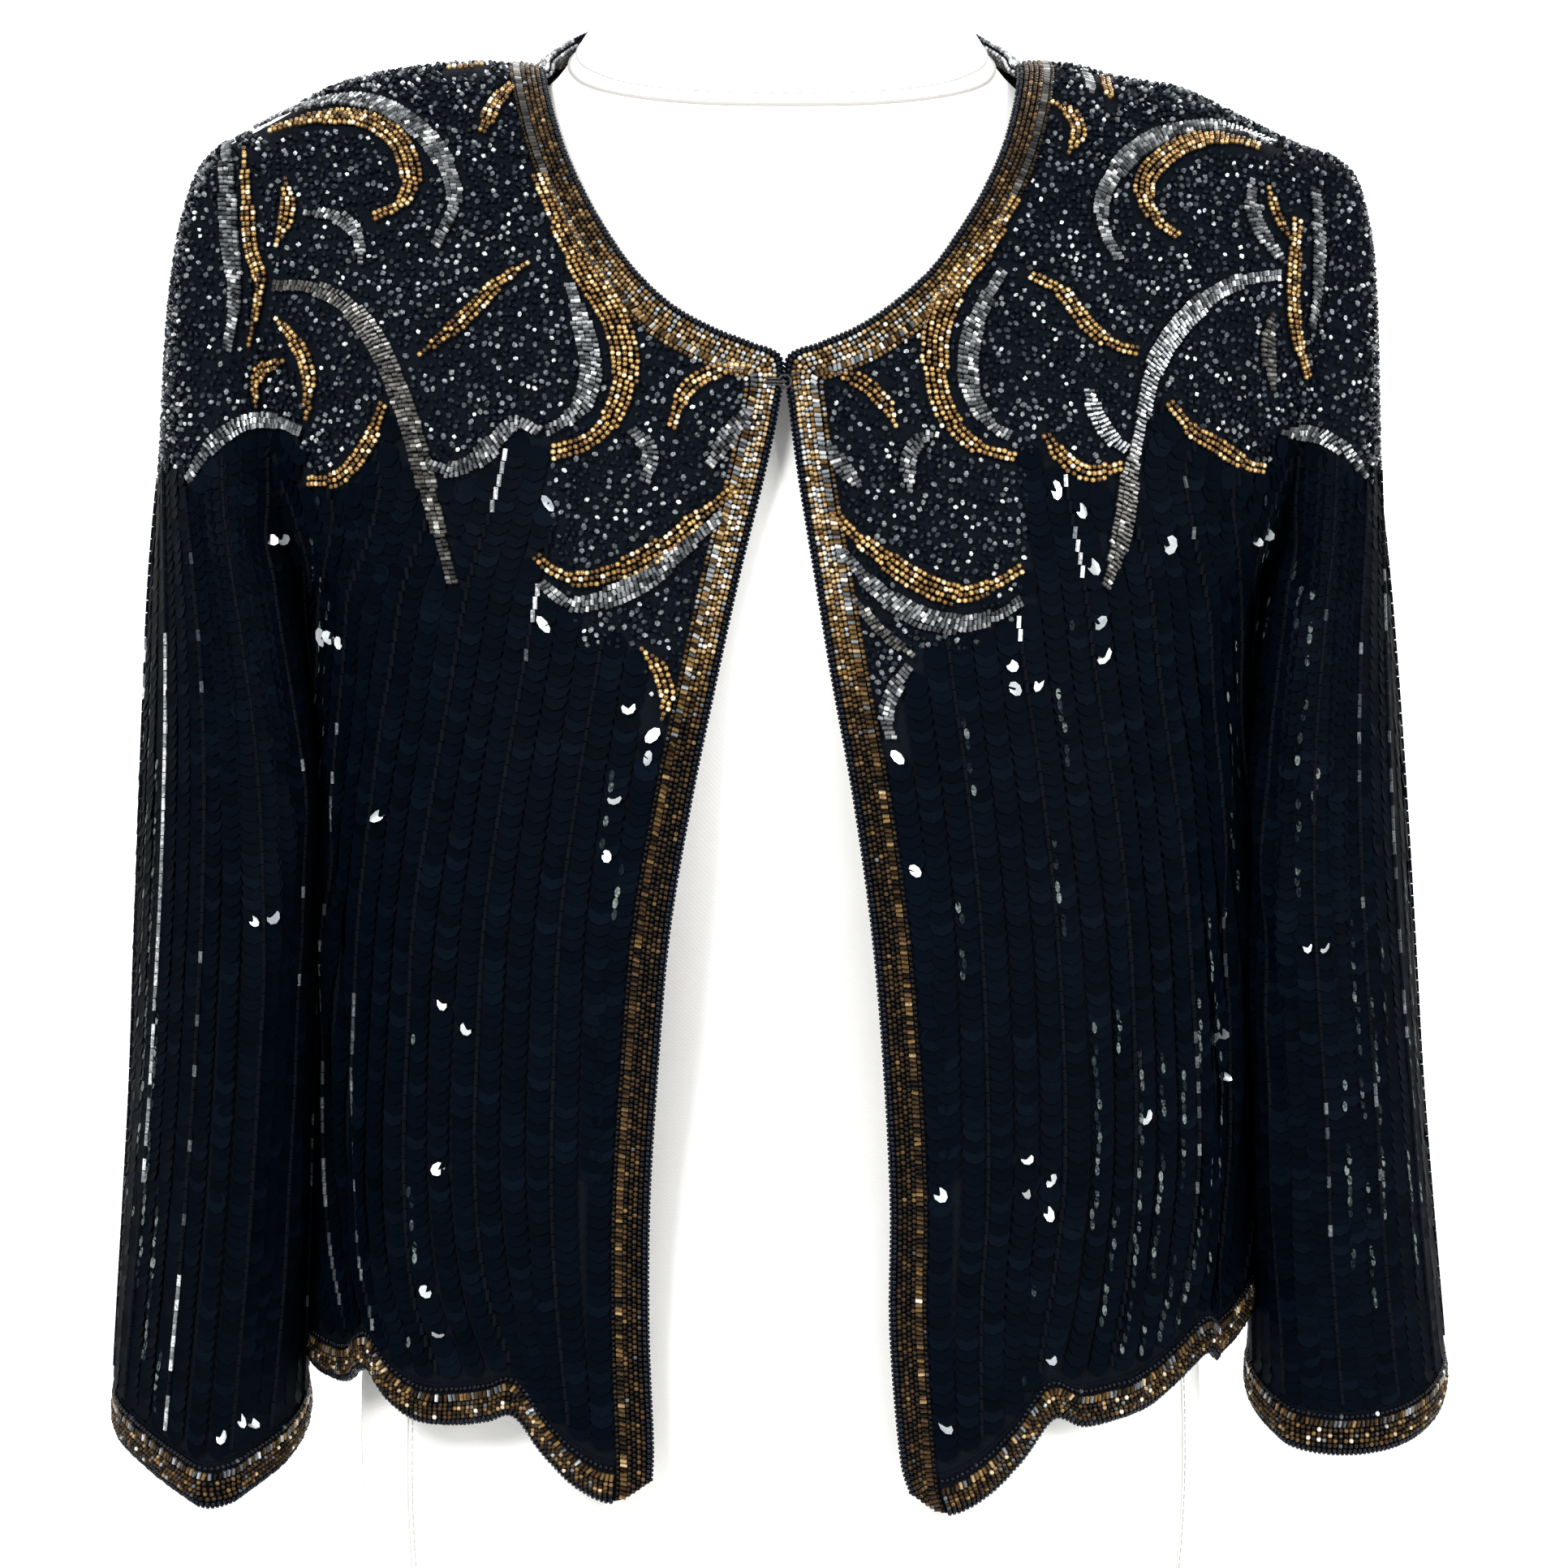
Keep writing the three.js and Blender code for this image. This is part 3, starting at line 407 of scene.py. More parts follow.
def sleeve_grid(side, front, back):
    name = "left" if side < 0 else "right"
    front_normals, back_normals = grid_normals(front, side), grid_normals(back, -1)
    armpit = next(i for i, row in enumerate(FRONT_ROWS) if row["y"] != 0) - 1
    top = len(front) - 1
    end = 0 if side < 0 else back.shape[1] - 1

    def middle(r):
        return (front[r, -1] + back[r, end]) / 2, unit(front_normals[r, -1] + back_normals[r, end])

    def section(z):
        return np.array([sleeve_point(name, z, i / count) * (side, 1, 1) for i in range(count)])

    loop = [middle(armpit)]
    loop += [(front[r, -1], front_normals[r, -1]) for r in range(armpit + 1, top)]
    loop.append(middle(top))
    loop += [(back[r, end], back_normals[r, end]) for r in range(top - 1, armpit, -1)]
    points = np.array([p for p, _ in loop])
    normals = np.array([n for _, n in loop])
    along = np.roll(points, -1, axis=0) - np.roll(points, 1, axis=0)
    away = unit(np.cross(along, normals)) * side
    seam = points + away * ARMHOLE_GAP
    count = len(loop)
    first = SLEEVE[name][0]["z"]
    ends = section(first)
    reach = np.linalg.norm(ends - seam, axis=1, keepdims=True)
    fall = unit(section(first - SECTION_STEP) - ends) * reach * CAP_SECTION
    grid = [seam]
    for r in range(1, CAP_ROWS + 1):
        grid.append(hermite(seam, ends, away * reach * CAP_SEAM, fall, r / CAP_ROWS))
    heights = [*SLEEVE_HEIGHTS, SLEEVE[name][-2]["z"], SLEEVE[name][-1]["z"]]
    return np.array(grid + [section(z) for z in heights])


# ---------- Smooth surfaces ----------
NORMAL_STEP = 0.06  # grid steps to each side of a point where its normal is taken
CREASE_ENDS = (0.06, 0.94)  # a crease stays open a little at both ends


class Surface:
    """A smooth surface through a grid of points, read at any row and column."""

    def __init__(self, grid, facing_out, wrap=False, creases=()):
        self.rows, self.columns = grid.shape[:2]
        self.wrap = wrap
        self.facing = facing_out
        self.creases = creases
        first, last = 2 * grid[:1] - grid[1:2], 2 * grid[-1:] - grid[-2:-1]
        grid = np.concatenate([first, grid, last], axis=0)
        if wrap:
            grid = np.concatenate([grid[:, -1:], grid, grid[:, :3]], axis=1)
        else:
            left, right = 2 * grid[:, :1] - grid[:, 1:2], 2 * grid[:, -1:] - grid[:, -2:-1]
            grid = np.concatenate([left, grid, right], axis=1)
        self.grid = grid

    @staticmethod
    def weights(t):
        t2, t3 = t * t, t * t * t
        return np.stack([-t + 2 * t2 - t3, 2 - 5 * t2 + 3 * t3, t + 4 * t2 - 3 * t3, t3 - t2], -1) / 2

    def plain(self, r, c):
        r, c = np.broadcast_arrays(np.asarray(r, float), np.asarray(c, float))
        r = np.clip(r, 0, self.rows - 1)
        c = np.mod(c, self.columns) if self.wrap else np.clip(c, 0, self.columns - 1)
        i = np.minimum(r.astype(int), self.rows - 2)
        j = c.astype(int) if self.wrap else np.minimum(c.astype(int), self.columns - 2)
        wr, wc = self.weights(r - i), self.weights(c - j)
        out = 0
        for a in range(4):
            for b in range(4):
                out = out + self.grid[i + a, j + b] * (wr[..., a] * wc[..., b])[..., None]
        return out

    def normal_of(self, read_point, r, c):
        r, c = np.asarray(r), np.asarray(c)
        up = read_point(r + NORMAL_STEP, c) - read_point(r - NORMAL_STEP, c)
        lo, hi = c - NORMAL_STEP, c + NORMAL_STEP
        across = read_point(r, hi) - read_point(r, lo)
        return unit(np.cross(across, up)) * self.facing

    def at(self, r, c):
        """Points, with the small creases of the cloth pressed in along the normal."""
        r, c = np.broadcast_arrays(np.asarray(r, float), np.asarray(c, float))
        points = self.plain(r, c)
        if not self.creases:
            return points
        depth = np.zeros(r.shape)
        for crease in self.creases:
            a = np.array([crease["r0"], crease["c0"]], float)
            b = np.array([crease["r1"], crease["c1"]], float)
            along = b - a
            t = np.clip(((r - a[0]) * along[0] + (c - a[1]) * along[1]) / (along @ along), 0, 1)
            away = np.hypot(r - a[0] - t * along[0], c - a[1] - t * along[1]) / crease["half"]
            soft = np.where(away < 1, 0.5 + 0.5 * np.cos(np.pi * np.minimum(away, 1)), 0)
            depth += crease["depth"] * soft * np.sin(np.pi * np.clip(t, *CREASE_ENDS)) ** 0.5
        return points + self.normal_of(self.plain, r, c) * depth[..., None]

    def normal(self, r, c):
        return self.normal_of(self.at, r, c)

    def mesh(self, fine):
        """Points and quads of the surface, `fine` steps to each cell of its grid."""
        rows = (self.rows - 1) * fine + 1
        columns = self.columns * fine if self.wrap else (self.columns - 1) * fine + 1
        r, c = np.meshgrid(np.arange(rows) / fine, np.arange(columns) / fine, indexing="ij")
        points = self.at(r, c).reshape(-1, 3)
        index = np.arange(rows * columns).reshape(rows, columns)
        if self.wrap:
            index = np.concatenate([index, index[:, :1]], axis=1)
        quads = quads_of(index)
        return points, quads if self.facing > 0 else quads[:, ::-1]


# ---------- Meshes ----------
class Part:
    """Collects points and faces of one piece: polygons, material index, tint, smoothness."""

    def __init__(self):
        self.points, self.loops, self.sizes = [], [], []
        self.materials, self.tints, self.smooth = [], [], []
        self.count = 0

    def add(self, points, faces, material=0, tint=0.5, smooth=True):
        """faces is an array of polygons with the same number of corners, or a list of such."""
        groups = faces if isinstance(faces, list) else [faces]
        for group in groups:
            group = np.asarray(group)
            self.loops.append(group.reshape(-1) + self.count)
            self.sizes.append(np.full(len(group), group.shape[1]))
            self.materials.append(np.broadcast_to(material, len(group)))
            self.smooth.append(np.full(len(group), smooth))
        self.points.append(points)
        self.tints.append(np.broadcast_to(tint, len(points)))
        self.count += len(points)

    def scatter(self, shape, places, x_axis, normals, sizes, material=0, tint=0.5, smooth=True):
        """Copies of a small shape: its x along x_axis and its z along the normal.

        sizes is length, breadth and height, or length and breadth where the height is the breadth.
        """
        if not len(places):
            return
        if np.shape(sizes) == (2,):
            sizes = (*sizes, sizes[1])
        points, groups = shape
        z = unit(normals)
        x = unit(x_axis - z * np.sum(x_axis * z, -1, keepdims=True))
        y = np.cross(z, x)
        sizes = np.broadcast_to(sizes, (len(places), 3))
        local = points[None] * sizes[:, None]
        turned = sum(local[..., k : k + 1] * axis[:, None] for k, axis in enumerate((x, y, z)))
        world = places[:, None] + turned
        offsets = np.arange(len(places)) * len(points)
        tint = np.repeat(np.broadcast_to(tint, len(places)), len(points))
        faces = [(g[None] + offsets[:, None, None]).reshape(-1, g.shape[1]) for g in groups]
        self.add(world.reshape(-1, 3), faces, material, tint, smooth)

    def build(self, name, materials, slot):
        mesh = bpy.data.meshes.new(name)
        points = np.concatenate(self.points) / METRE
        loops = np.concatenate(self.loops)
        sizes = np.concatenate(self.sizes)
        mesh.vertices.add(len(points))
        mesh.vertices.foreach_set("co", points.astype(np.float32).ravel())
        mesh.loops.add(len(loops))
        mesh.loops.foreach_set("vertex_index", loops.astype(np.int32))
        mesh.polygons.add(len(sizes))
        starts = np.concatenate([[0], np.cumsum(sizes)[:-1]])
        mesh.polygons.foreach_set("loop_start", starts.astype(np.int32))
        mesh.polygons.foreach_set("material_index", np.concatenate(self.materials).astype(np.int32))
        mesh.polygons.foreach_set("use_smooth", np.concatenate(self.smooth).astype(bool))
        for material in materials:
            mesh.materials.append(material)
        tint = mesh.attributes.new("tint", "FLOAT", "POINT")
        tint.data.foreach_set("value", np.concatenate(self.tints).astype(np.float32))
        mesh.update(calc_edges=True)
        mesh.validate()
        piece = bpy.data.objects.new(name, mesh)
        bpy.context.scene.collection.objects.link(piece)
        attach(piece, "root")
        return piece


def barrel(count, x):
    """Two rings of a tube bead one across, at x from its middle, and the faces between them."""
    turn = turns_of(count)
    across = np.cos(turn) * 0.5, np.sin(turn) * 0.5
    rings = [np.stack([np.full(count, end), *across], -1) for end in (-x, x)]
    i = np.arange(count)
    j = (i + 1) % count
    return rings, i, j, np.stack([i, j, j + count, i + count], -1)


def bead_shape(count):
    """A round bead, one across, with its hole along x."""
    rings, i, j, sides = barrel(count, BEAD_FLAT)
    start = np.stack([j, i, np.full(count, 2 * count)], -1)
    end = np.stack([i + count, j + count, np.full(count, 2 * count + 1)], -1)
    return np.concatenate([*rings, [[-0.5, 0, 0], [0.5, 0, 0]]]), [sides, np.concatenate([start, end])]


def bugle_shape(count):
    """A cut tube bead, one long and one across."""
    rings, i, _, sides = barrel(count, 0.5)
    return np.concatenate(rings), [sides, np.stack([i[::-1], i + count])]


def sequin_shape(count):
    """A cupped sequin, one across, its hollow facing out."""
    turn = turns_of(count)
    rim = np.stack([np.cos(turn) * 0.5, np.sin(turn) * 0.5, np.full(count, SEQUIN_CUP)], -1)
    i = np.arange(count)
    fan = np.stack([i, (i + 1) % count, np.full(count, count)], -1)
    return np.concatenate([rim, [[0, 0, 0]]]), [fan]


SEQUIN_CUP, BEAD_FLAT = 0.035, 0.24  # a sequin's depth and half of a bead's straight part
SEED = bead_shape(4)
ROUND = bead_shape(5)
BUGLE = bugle_shape(6)
SEQUIN = sequin_shape(8)


def spaced(path, pitch):
    """Places at an even pitch along a path of points, as fractions of its index."""
    steps = np.linalg.norm(np.diff(path, axis=0), axis=1)
    length = np.concatenate([[0], np.cumsum(steps)])
    count = max(int(length[-1] / pitch), 1)
    wanted = (np.arange(count) + 0.5) * length[-1] / count
    return np.interp(wanted, length, np.arange(len(path)))


# ---------- The yoke and its scrolls ----------
# Lower edge of the beaded yoke in front on each side: height at a distance from the middle.
YOKE_FRONT = {
    -1: table(
        "x z",
        (0, 456), (28, 444), (46, 414), (57, 440), (80, 446), (90, 470), (92, 512), (94, 521),
        (105, 525), (116, 514), (127, 508), (139, 510), (147, 525), (154, 533), (160, 518),
        (171, 505), (184, 503), (187, 522), (198, 526), (212, 524), (223, 515), (231, 502),
        (242, 510), (262, 492),
    ),
    1: table(
        "x z",
        (0, 460), (21, 452), (33, 412), (46, 440), (80, 448), (87, 470), (88, 512), (95, 519),
        (102, 512), (112, 506), (125, 508), (130, 528), (143, 533), (153, 522), (164, 515),
        (175, 509), (184, 508), (190, 521), (206, 520), (217, 514), (226, 503), (240, 508),
        (262, 492),
    ),
}
YOKE_BACK = table(
    "x z",
    (0, 470), (22, 486), (46, 512), (70, 524), (92, 520), (112, 506), (132, 512), (150, 528),
    (165, 514), (182, 500), (196, 512), (216, 518), (236, 504), (262, 494),
)
# Ordinary crescents, leaves, hooks and scrolls, a near mirror of each other: what they are
# filled with, how broad they grow, and their middle line as place from the centre and height.
SCROLLS = table(
    "fill width line",
    ("silver", 8.5, ((-208, 638), (-192, 645), (-173, 649), (-157, 646),
                     (-142, 636), (-132, 623), (-128, 608), (-135, 591))),
    ("gold", 10.5, ((-201, 636), (-183, 641), (-165, 641), (-151, 633),
                    (-145, 619), (-148, 608), (-159, 602))),
    ("gold", 6.5, ((-210, 629), (-208, 611), (-206, 592), (-202, 577), (-207, 554))),
    ("silver", 8.0, ((-217, 632), (-216, 613), (-215, 595), (-213, 574), (-217, 552))),
    ("gold", 6.5, ((-193, 618), (-192, 605), (-196, 591))),
    ("silver", 5.5, ((-186, 604), (-174, 603), (-165, 596), (-163, 584))),
    ("gold", 7.0, ((-99, 585), (-111, 577), (-124, 564), (-141, 550))),
    ("gold", 12.0, ((-96, 619), (-88, 600), (-77, 580), (-67, 564),
                    (-63, 546), (-68, 528), (-78, 518), (-91, 514))),
    ("silver", 9.0, ((-84, 577), (-79, 561), (-76, 546), (-79, 533), (-86, 526), (-93, 522))),
    ("gold", 7.5, ((-107, 654), (-113, 647), (-118, 635))),
    ("gold", 4.5, ((-133, 661), (-118, 663))),
    ("grey", 9.0, ((-197, 577), (-182, 576), (-168, 569), (-156, 554),
                   (-148, 536), (-142, 518), (-136, 495), (-128, 465))),
    ("gold", 7.0, ((-196, 565), (-188, 556), (-183, 543), (-184, 526))),
    ("gold", 6.0, ((-205, 530), (-204, 543), (-192, 549))),
    ("silver", 7.0, ((-231, 502), (-223, 515), (-212, 524), (-198, 526), (-186, 522))),
    ("gold", 8.0, ((-184, 503), (-171, 505), (-160, 518), (-154, 533))),
    ("silver", 7.5, ((-139, 510), (-127, 508), (-116, 514), (-105, 525), (-95, 522))),
    ("gold", 7.5, ((-16, 545), (-27, 545), (-40, 538), (-46, 523))),
    ("silver", 7.5, ((-17, 530), (-24, 521), (-32, 509))),
    ("silver", 7.0, ((-61, 523), (-54, 515), (-56, 503))),
    ("gold", 8.5, ((-22, 501), (-36, 490), (-51, 478), (-67, 470), (-80, 467), (-90, 470), (-97, 476))),
    ("silver", 8.0, ((-27, 491), (-41, 479), (-56, 467), (-71, 460), (-84, 458), (-95, 466))),
    ("gold", 7.0, ((-58, 442), (-51, 434), (-48, 424), (-50, 414))),
    ("silver", 7.8, ((192, 631), (182, 636), (168, 639), (153, 637), (139, 631),
                     (128, 621), (121, 609), (121, 597), (126, 586))),
    ("gold", 10.0, ((186, 630), (175, 633), (161, 633), (148, 627),
                    (139, 618), (138, 608), (143, 600), (150, 595))),
    ("silver", 6.0, ((181, 618), (180, 606), (185, 594), (192, 585))),
    ("gold", 5.5, ((187, 615), (190, 603), (195, 594))),
    ("silver", 6.5, ((206, 615), (207, 595), (206, 577), (203, 561))),
    ("gold", 8.0, ((198, 603), (196, 587), (195, 572), (197, 556), (202, 542))),
    ("gold", 7.0, ((104, 648), (111, 644), (114, 636), (109, 627))),
    ("silver", 4.5, ((120, 661), (121, 651))),
    ("gold", 5.5, ((127, 659), (128, 649))),
    ("gold", 11.0, ((88, 610), (76, 592), (63, 577), (55, 561),
                    (54, 543), (58, 528), (68, 517), (84, 512))),
    ("silver", 8.0, ((81, 582), (73, 569), (67, 554), (67, 537), (74, 525), (82, 520))),
    ("gold", 7.2, ((91, 580), (103, 574), (113, 561), (123, 554), (132, 552))),
    ("silver", 8.0, ((190, 581), (176, 579), (162, 573), (148, 561),
                     (138, 546), (133, 528), (129, 510))),
    ("grey", 8.5, ((131, 520), (128, 505), (126, 490), (123, 477), (118, 463))),
    ("grey", 6.0, ((186, 567), (184, 554), (186, 537))),
    ("gold", 7.2, ((143, 533), (153, 522), (164, 516), (175, 509), (183, 507))),
    ("silver", 6.2, ((190, 521), (206, 520), (217, 514), (226, 503))),
    ("gold", 8.2, ((95, 521), (102, 512), (112, 506), (125, 509))),
    ("silver", 7.0, ((112, 538), (115, 528), (121, 519), (127, 515))),
    ("gold", 7.0, ((14, 544), (25, 541), (34, 533), (39, 523))),
    ("silver", 6.2, ((44, 499), (43, 511), (48, 519), (55, 521))),
    ("silver", 6.2, ((13, 518), (18, 509), (25, 501))),
    ("gold", 9.0, ((15, 492), (23, 483), (35, 474), (47, 466), (61, 461), (74, 464), (86, 471))),
    ("silver", 8.0, ((17, 478), (31, 463), (47, 453), (62, 450), (76, 453), (86, 459))),
    ("silver", 6.5, ((43, 435), (38, 427), (34, 417), (36, 407))),
    ("grey", 4.5, ((22, 460), (33, 447), (45, 438))),
)
# The motifs in the middle of the back, between the outer scrolls that both faces have.
BACK_SCROLLS = table(
    "fill width line",
    ("gold", 8.0, ((-40, 668), (-30, 646), (-16, 628), (0, 620), (16, 628), (30, 646), (40, 668))),
    ("silver", 6.5, ((-26, 662), (-14, 644), (0, 637), (14, 644), (26, 662))),
    ("gold", 8.5, ((-64, 600), (-44, 588), (-20, 580), (0, 562), (20, 580), (44, 588), (64, 600))),
    ("silver", 7.0, ((-46, 572), (-22, 562), (0, 540), (22, 562), (46, 572))),
    ("gold", 6.5, ((-12, 520), (0, 500), (12, 520))),
)


def curve_through(points, per_span=8):
    """A smooth line through a few points."""
    p = np.array(points, float)
    p = np.concatenate([2 * p[:1] - p[1:2], p, 2 * p[-1:] - p[-2:-1]])
    out = []
    for i in range(1, len(p) - 2):
        for k in range(per_span):
            w = Surface.weights(np.array(k / per_span))
            out.append(p[i - 1] * w[0] + p[i] * w[1] + p[i + 1] * w[2] + p[i + 2] * w[3])
    out.append(p[-2])
    return np.array(out)


BOTH_FACES_FROM = 90  # scrolls further out than this are on the back too
TAPER, FREE_ENDS, BEADED_ENDS = 0.6, (0.12, 0.88), (0.1, 0.9)  # how a scroll narrows to its ends
RIDGE_OVERLAP = 2  # how far past the shoulder seam a face's scrolls keep other beads away
YOKE_TURN = 14  # depth to each side of the middle over which the yoke's edge turns to the back's


def scroll_lines(facing):
    """Every scroll on one face of the jacket, as (fill, width, line in x and z)."""
    lines = []
    for scroll in SCROLLS:
        line = np.array(scroll["line"], float)
        if facing < 0 or abs(line[:, 0]).min() > BOTH_FACES_FROM:
            lines.append((scroll["fill"], scroll["width"], curve_through(line)))
    if facing > 0:
        lines += [(s["fill"], s["width"], curve_through(s["line"])) for s in BACK_SCROLLS]
    return lines


LINES = {-1: scroll_lines(-1), 1: scroll_lines(1)}


def in_yoke(points):
    """Which points lie above the yoke's lower edge."""
    left, right = (straight(YOKE_FRONT[side], "x", "z", side * points[:, 0]) for side in (-1, 1))
    front = np.where(points[:, 0] < 0, left, right)
    back = straight(YOKE_BACK, "x", "z", abs(points[:, 0]))
    share = smoothstep((points[:, 1] + YOKE_TURN) / (2 * YOKE_TURN))
    return points[:, 2] > mix(front, back, share)


def near_scroll(points, extra):
    """Which points lie on a scroll, so that nothing else is sewn there."""
    hit = np.zeros(len(points), bool)
    for facing in (-1, 1):
        mine = (points[:, 1] - RIDGE_Y) * facing > -RIDGE_OVERLAP
        for _, width, line in LINES[facing]:
            lo, hi = line.min(0) - width, line.max(0) + width
            near = mine & np.all((points[:, [0, 2]] > lo) & (points[:, [0, 2]] < hi), axis=1)
            index = np.flatnonzero(near)
            if not len(index):
                continue
            d = np.linalg.norm(points[index][:, None, [0, 2]] - line[None], axis=2)
            k = d.argmin(1)
            taper = np.sin(np.pi * np.clip((k + 0.5) / len(line), *FREE_ENDS)) ** TAPER
            hit[index[d.min(1) < width * taper / 2 + extra]] = True
    return hit


# ---------- Cloth ----------
# Small creases that the solids leave out: from one grid place to another, reach and depth.
CREASE = "r0 c0 r1 c1 half depth"
CREASES = {
    "front_left": table(
        CREASE,
        (1.5, 9.5, 7, 12.6, 0.7, -2.2), (3, 11.5, 9, 13.4, 0.6, 2.0), (2, 5.5, 6, 7.2, 0.8, 1.2),
        (9, 12.6, 12, 9.5, 1.1, -1.6), (6, 8, 9, 11, 0.9, 1.0), (0.4, 6.4, 2.4, 6.8, 0.6, 1.6),
    ),
    "front_right": table(
        CREASE,
        (1.5, 9.2, 7, 12.0, 0.7, -2.4), (2, 11.2, 8, 13.2, 0.6, 2.4), (2, 5.2, 7, 6.6, 0.9, 1.4),
        (9, 12.4, 12, 9.2, 1.1, -1.8), (5, 8, 9, 10.4, 0.9, 1.2), (0.4, 6.2, 2.4, 6.6, 0.6, 1.6),
    ),
    "back": table(
        CREASE,
        (2, 6, 9, 4, 1.3, -2.0), (2, 17, 9, 20, 1.3, -2.2), (5, 10, 11, 8.5, 1.5, 1.6),
        (5, 15, 11, 16.5, 1.4, -1.6), (10, 3, 14, 6.5, 1.1, -1.8), (10, 21, 14, 17.5, 1.1, -1.8),
    ),
    "sleeve_left": table(
        CREASE,
        (2, 3, 6.5, 7, 0.8, -2.0), (5, 20, 8, 25, 0.8, 1.8), (8, 4, 10.5, 7.2, 0.8, 1.6),
        (9, 1.5, 11, 5, 0.7, -1.6), (10.5, 17, 12, 21, 0.9, 1.8), (11.5, 3, 14, 5, 0.9, 1.4),
    ),
    "sleeve_right": table(
        CREASE,
        (2, 3, 6.5, 6.4, 0.8, -2.0), (5, 21, 8, 25.4, 0.8, 1.8), (8, 3, 10.5, 6.2, 0.8, 1.8),
        (9, 2, 11, 6, 0.7, -1.6), (10.5, 16.5, 12, 20.5, 0.9, 1.6), (11.5, 4, 14, 6, 0.9, 1.4),
    ),
}

back = back_grid()
fronts = {side: front_grid(side) for side in (-1, 1)}
SURFACES = {
    "back": Surface(back, -1, creases=CREASES["back"]),
    "front_left": Surface(fronts[-1], -1, creases=CREASES["front_left"]),
    "front_right": Surface(fronts[1], 1, creases=CREASES["front_right"]),
    "sleeve_left": Surface(sleeve_grid(-1, fronts[-1], back), 1, True, CREASES["sleeve_left"]),
    "sleeve_right": Surface(sleeve_grid(1, fronts[1], back), -1, True, CREASES["sleeve_right"]),
}
ARMPIT_ROW = next(i for i, row in enumerate(FRONT_ROWS) if row["y"] != 0) - 1


# ---------- Materials ----------
GRAIN_SHARE = 0.35  # how far the fine noise shifts a tint
COAT_ROUGH, SHEEN_ROUGH = 0.12, 0.5
WEAVE = ((420.0, "Z"), (380.0, "DIAGONAL"))  # threads of a woven or knitted face, and their run


def material(
    name, tones, rough, metallic=0.0, coat=0.0, bump=None, noise=900.0, sheen=0.0, specular=0.5
):
    """A material whose colour runs through `tones` with each bead's own tint and a fine noise."""
    made = bpy.data.materials.new(name)
    made.use_nodes = True
    tree = made.node_tree
    shader = tree.nodes["Principled BSDF"]
    shader.inputs["Metallic"].default_value = metallic
    shader.inputs["Coat Weight"].default_value = coat
    shader.inputs["Coat Roughness"].default_value = COAT_ROUGH
    shader.inputs["Sheen Weight"].default_value = sheen
    shader.inputs["Specular IOR Level"].default_value = specular
    shader.inputs["Sheen Roughness"].default_value = SHEEN_ROUGH

    def node(kind, **values):
        n = tree.nodes.new(kind)
        for key, value in values.items():
            n.inputs[key.replace("_", " ")].default_value = value
        return n

    def maths(operation, *sources):
        made = tree.nodes.new("ShaderNodeMath")
        made.operation = operation
        for k, source in enumerate(sources):
            if isinstance(source, float):
                made.inputs[k].default_value = source
            else:
                link(source, made.inputs[k])
        return made.outputs[0]

    link = tree.links.new
    coords = node("ShaderNodeTexCoord")
    tint = tree.nodes.new("ShaderNodeAttribute")
    tint.attribute_name = "tint"
    grain = node("ShaderNodeTexNoise", Scale=noise, Detail=3.0, Roughness=0.6)
    link(coords.outputs["Object"], grain.inputs["Vector"])
    mixed = maths("MULTIPLY_ADD", grain.outputs["Fac"], GRAIN_SHARE, tint.outputs["Fac"])
    ramp = tree.nodes.new("ShaderNodeValToRGB")
    while len(ramp.color_ramp.elements) < len(tones):
        ramp.color_ramp.elements.new(0.5)
    for element, (place, colour) in zip(ramp.color_ramp.elements, tones):
        element.position = place
        element.color = (*colour, 1)
    link(maths("SUBTRACT", mixed, GRAIN_SHARE / 2), ramp.inputs["Fac"])
    link(ramp.outputs["Color"], shader.inputs["Base Color"])
    spread = node("ShaderNodeMapRange", To_Min=rough[0], To_Max=rough[1])
    link(grain.outputs["Fac"], spread.inputs["Value"])
    link(spread.outputs["Result"], shader.inputs["Roughness"])
    if bump:
        texture, strength, distance = bump
        source = grain.outputs["Fac"]
        if texture == "weave":
            threads = []
            for scale, direction in WEAVE:
                wave = node("ShaderNodeTexWave", Scale=scale, Distortion=1.5, Detail=1.0)
                wave.bands_direction = direction
                link(coords.outputs["Object"], wave.inputs["Vector"])
                threads.append(wave.outputs["Fac"])
            source = maths("ADD", *threads)
        relief = node("ShaderNodeBump", Strength=strength, Distance=distance)
        link(source, relief.inputs["Height"])
        link(relief.outputs["Normal"], shader.inputs["Normal"])
    return made


CLOTH_DARK = material(
    "ground_cloth", [(0.0, (0.001, 0.0015, 0.003)), (1.0, (0.003, 0.005, 0.009))], (0.7, 0.9),
    bump=("weave", 0.4, 0.0003), specular=0.05,
)
LINING = material(
    "lining", [(0.0, (0.004, 0.005, 0.009)), (1.0, (0.014, 0.018, 0.03))], (0.4, 0.55),
    bump=("weave", 0.25, 0.0002), sheen=0.1, noise=160.0, specular=0.3,
)
# Its stops from 0.86 up are pale grey-green: the painted sheen of the small rim discs.
SEQUIN_NAVY = material(
    "sequin_navy",
    [(0.0, (0.0003, 0.0009, 0.0022)), (0.5, (0.0007, 0.0020, 0.0044)), (0.74, (0.0016, 0.0038, 0.0078)),
     (0.86, (0.02, 0.027, 0.029)), (1.0, (0.2, 0.24, 0.225))],
    (0.45, 0.58), specular=0.012,
)
# Pale grey to near white: the painted glint of sequins that face a lamp, not a colour of the sequins.
SEQUIN_PAINTED_GLINT = material(
    "sequin_bright", [(0.0, (0.3, 0.34, 0.36)), (0.5, (0.6, 0.64, 0.66)), (1.0, (0.9, 0.92, 0.93))],
    (0.15, 0.3), metallic=0.5,
)
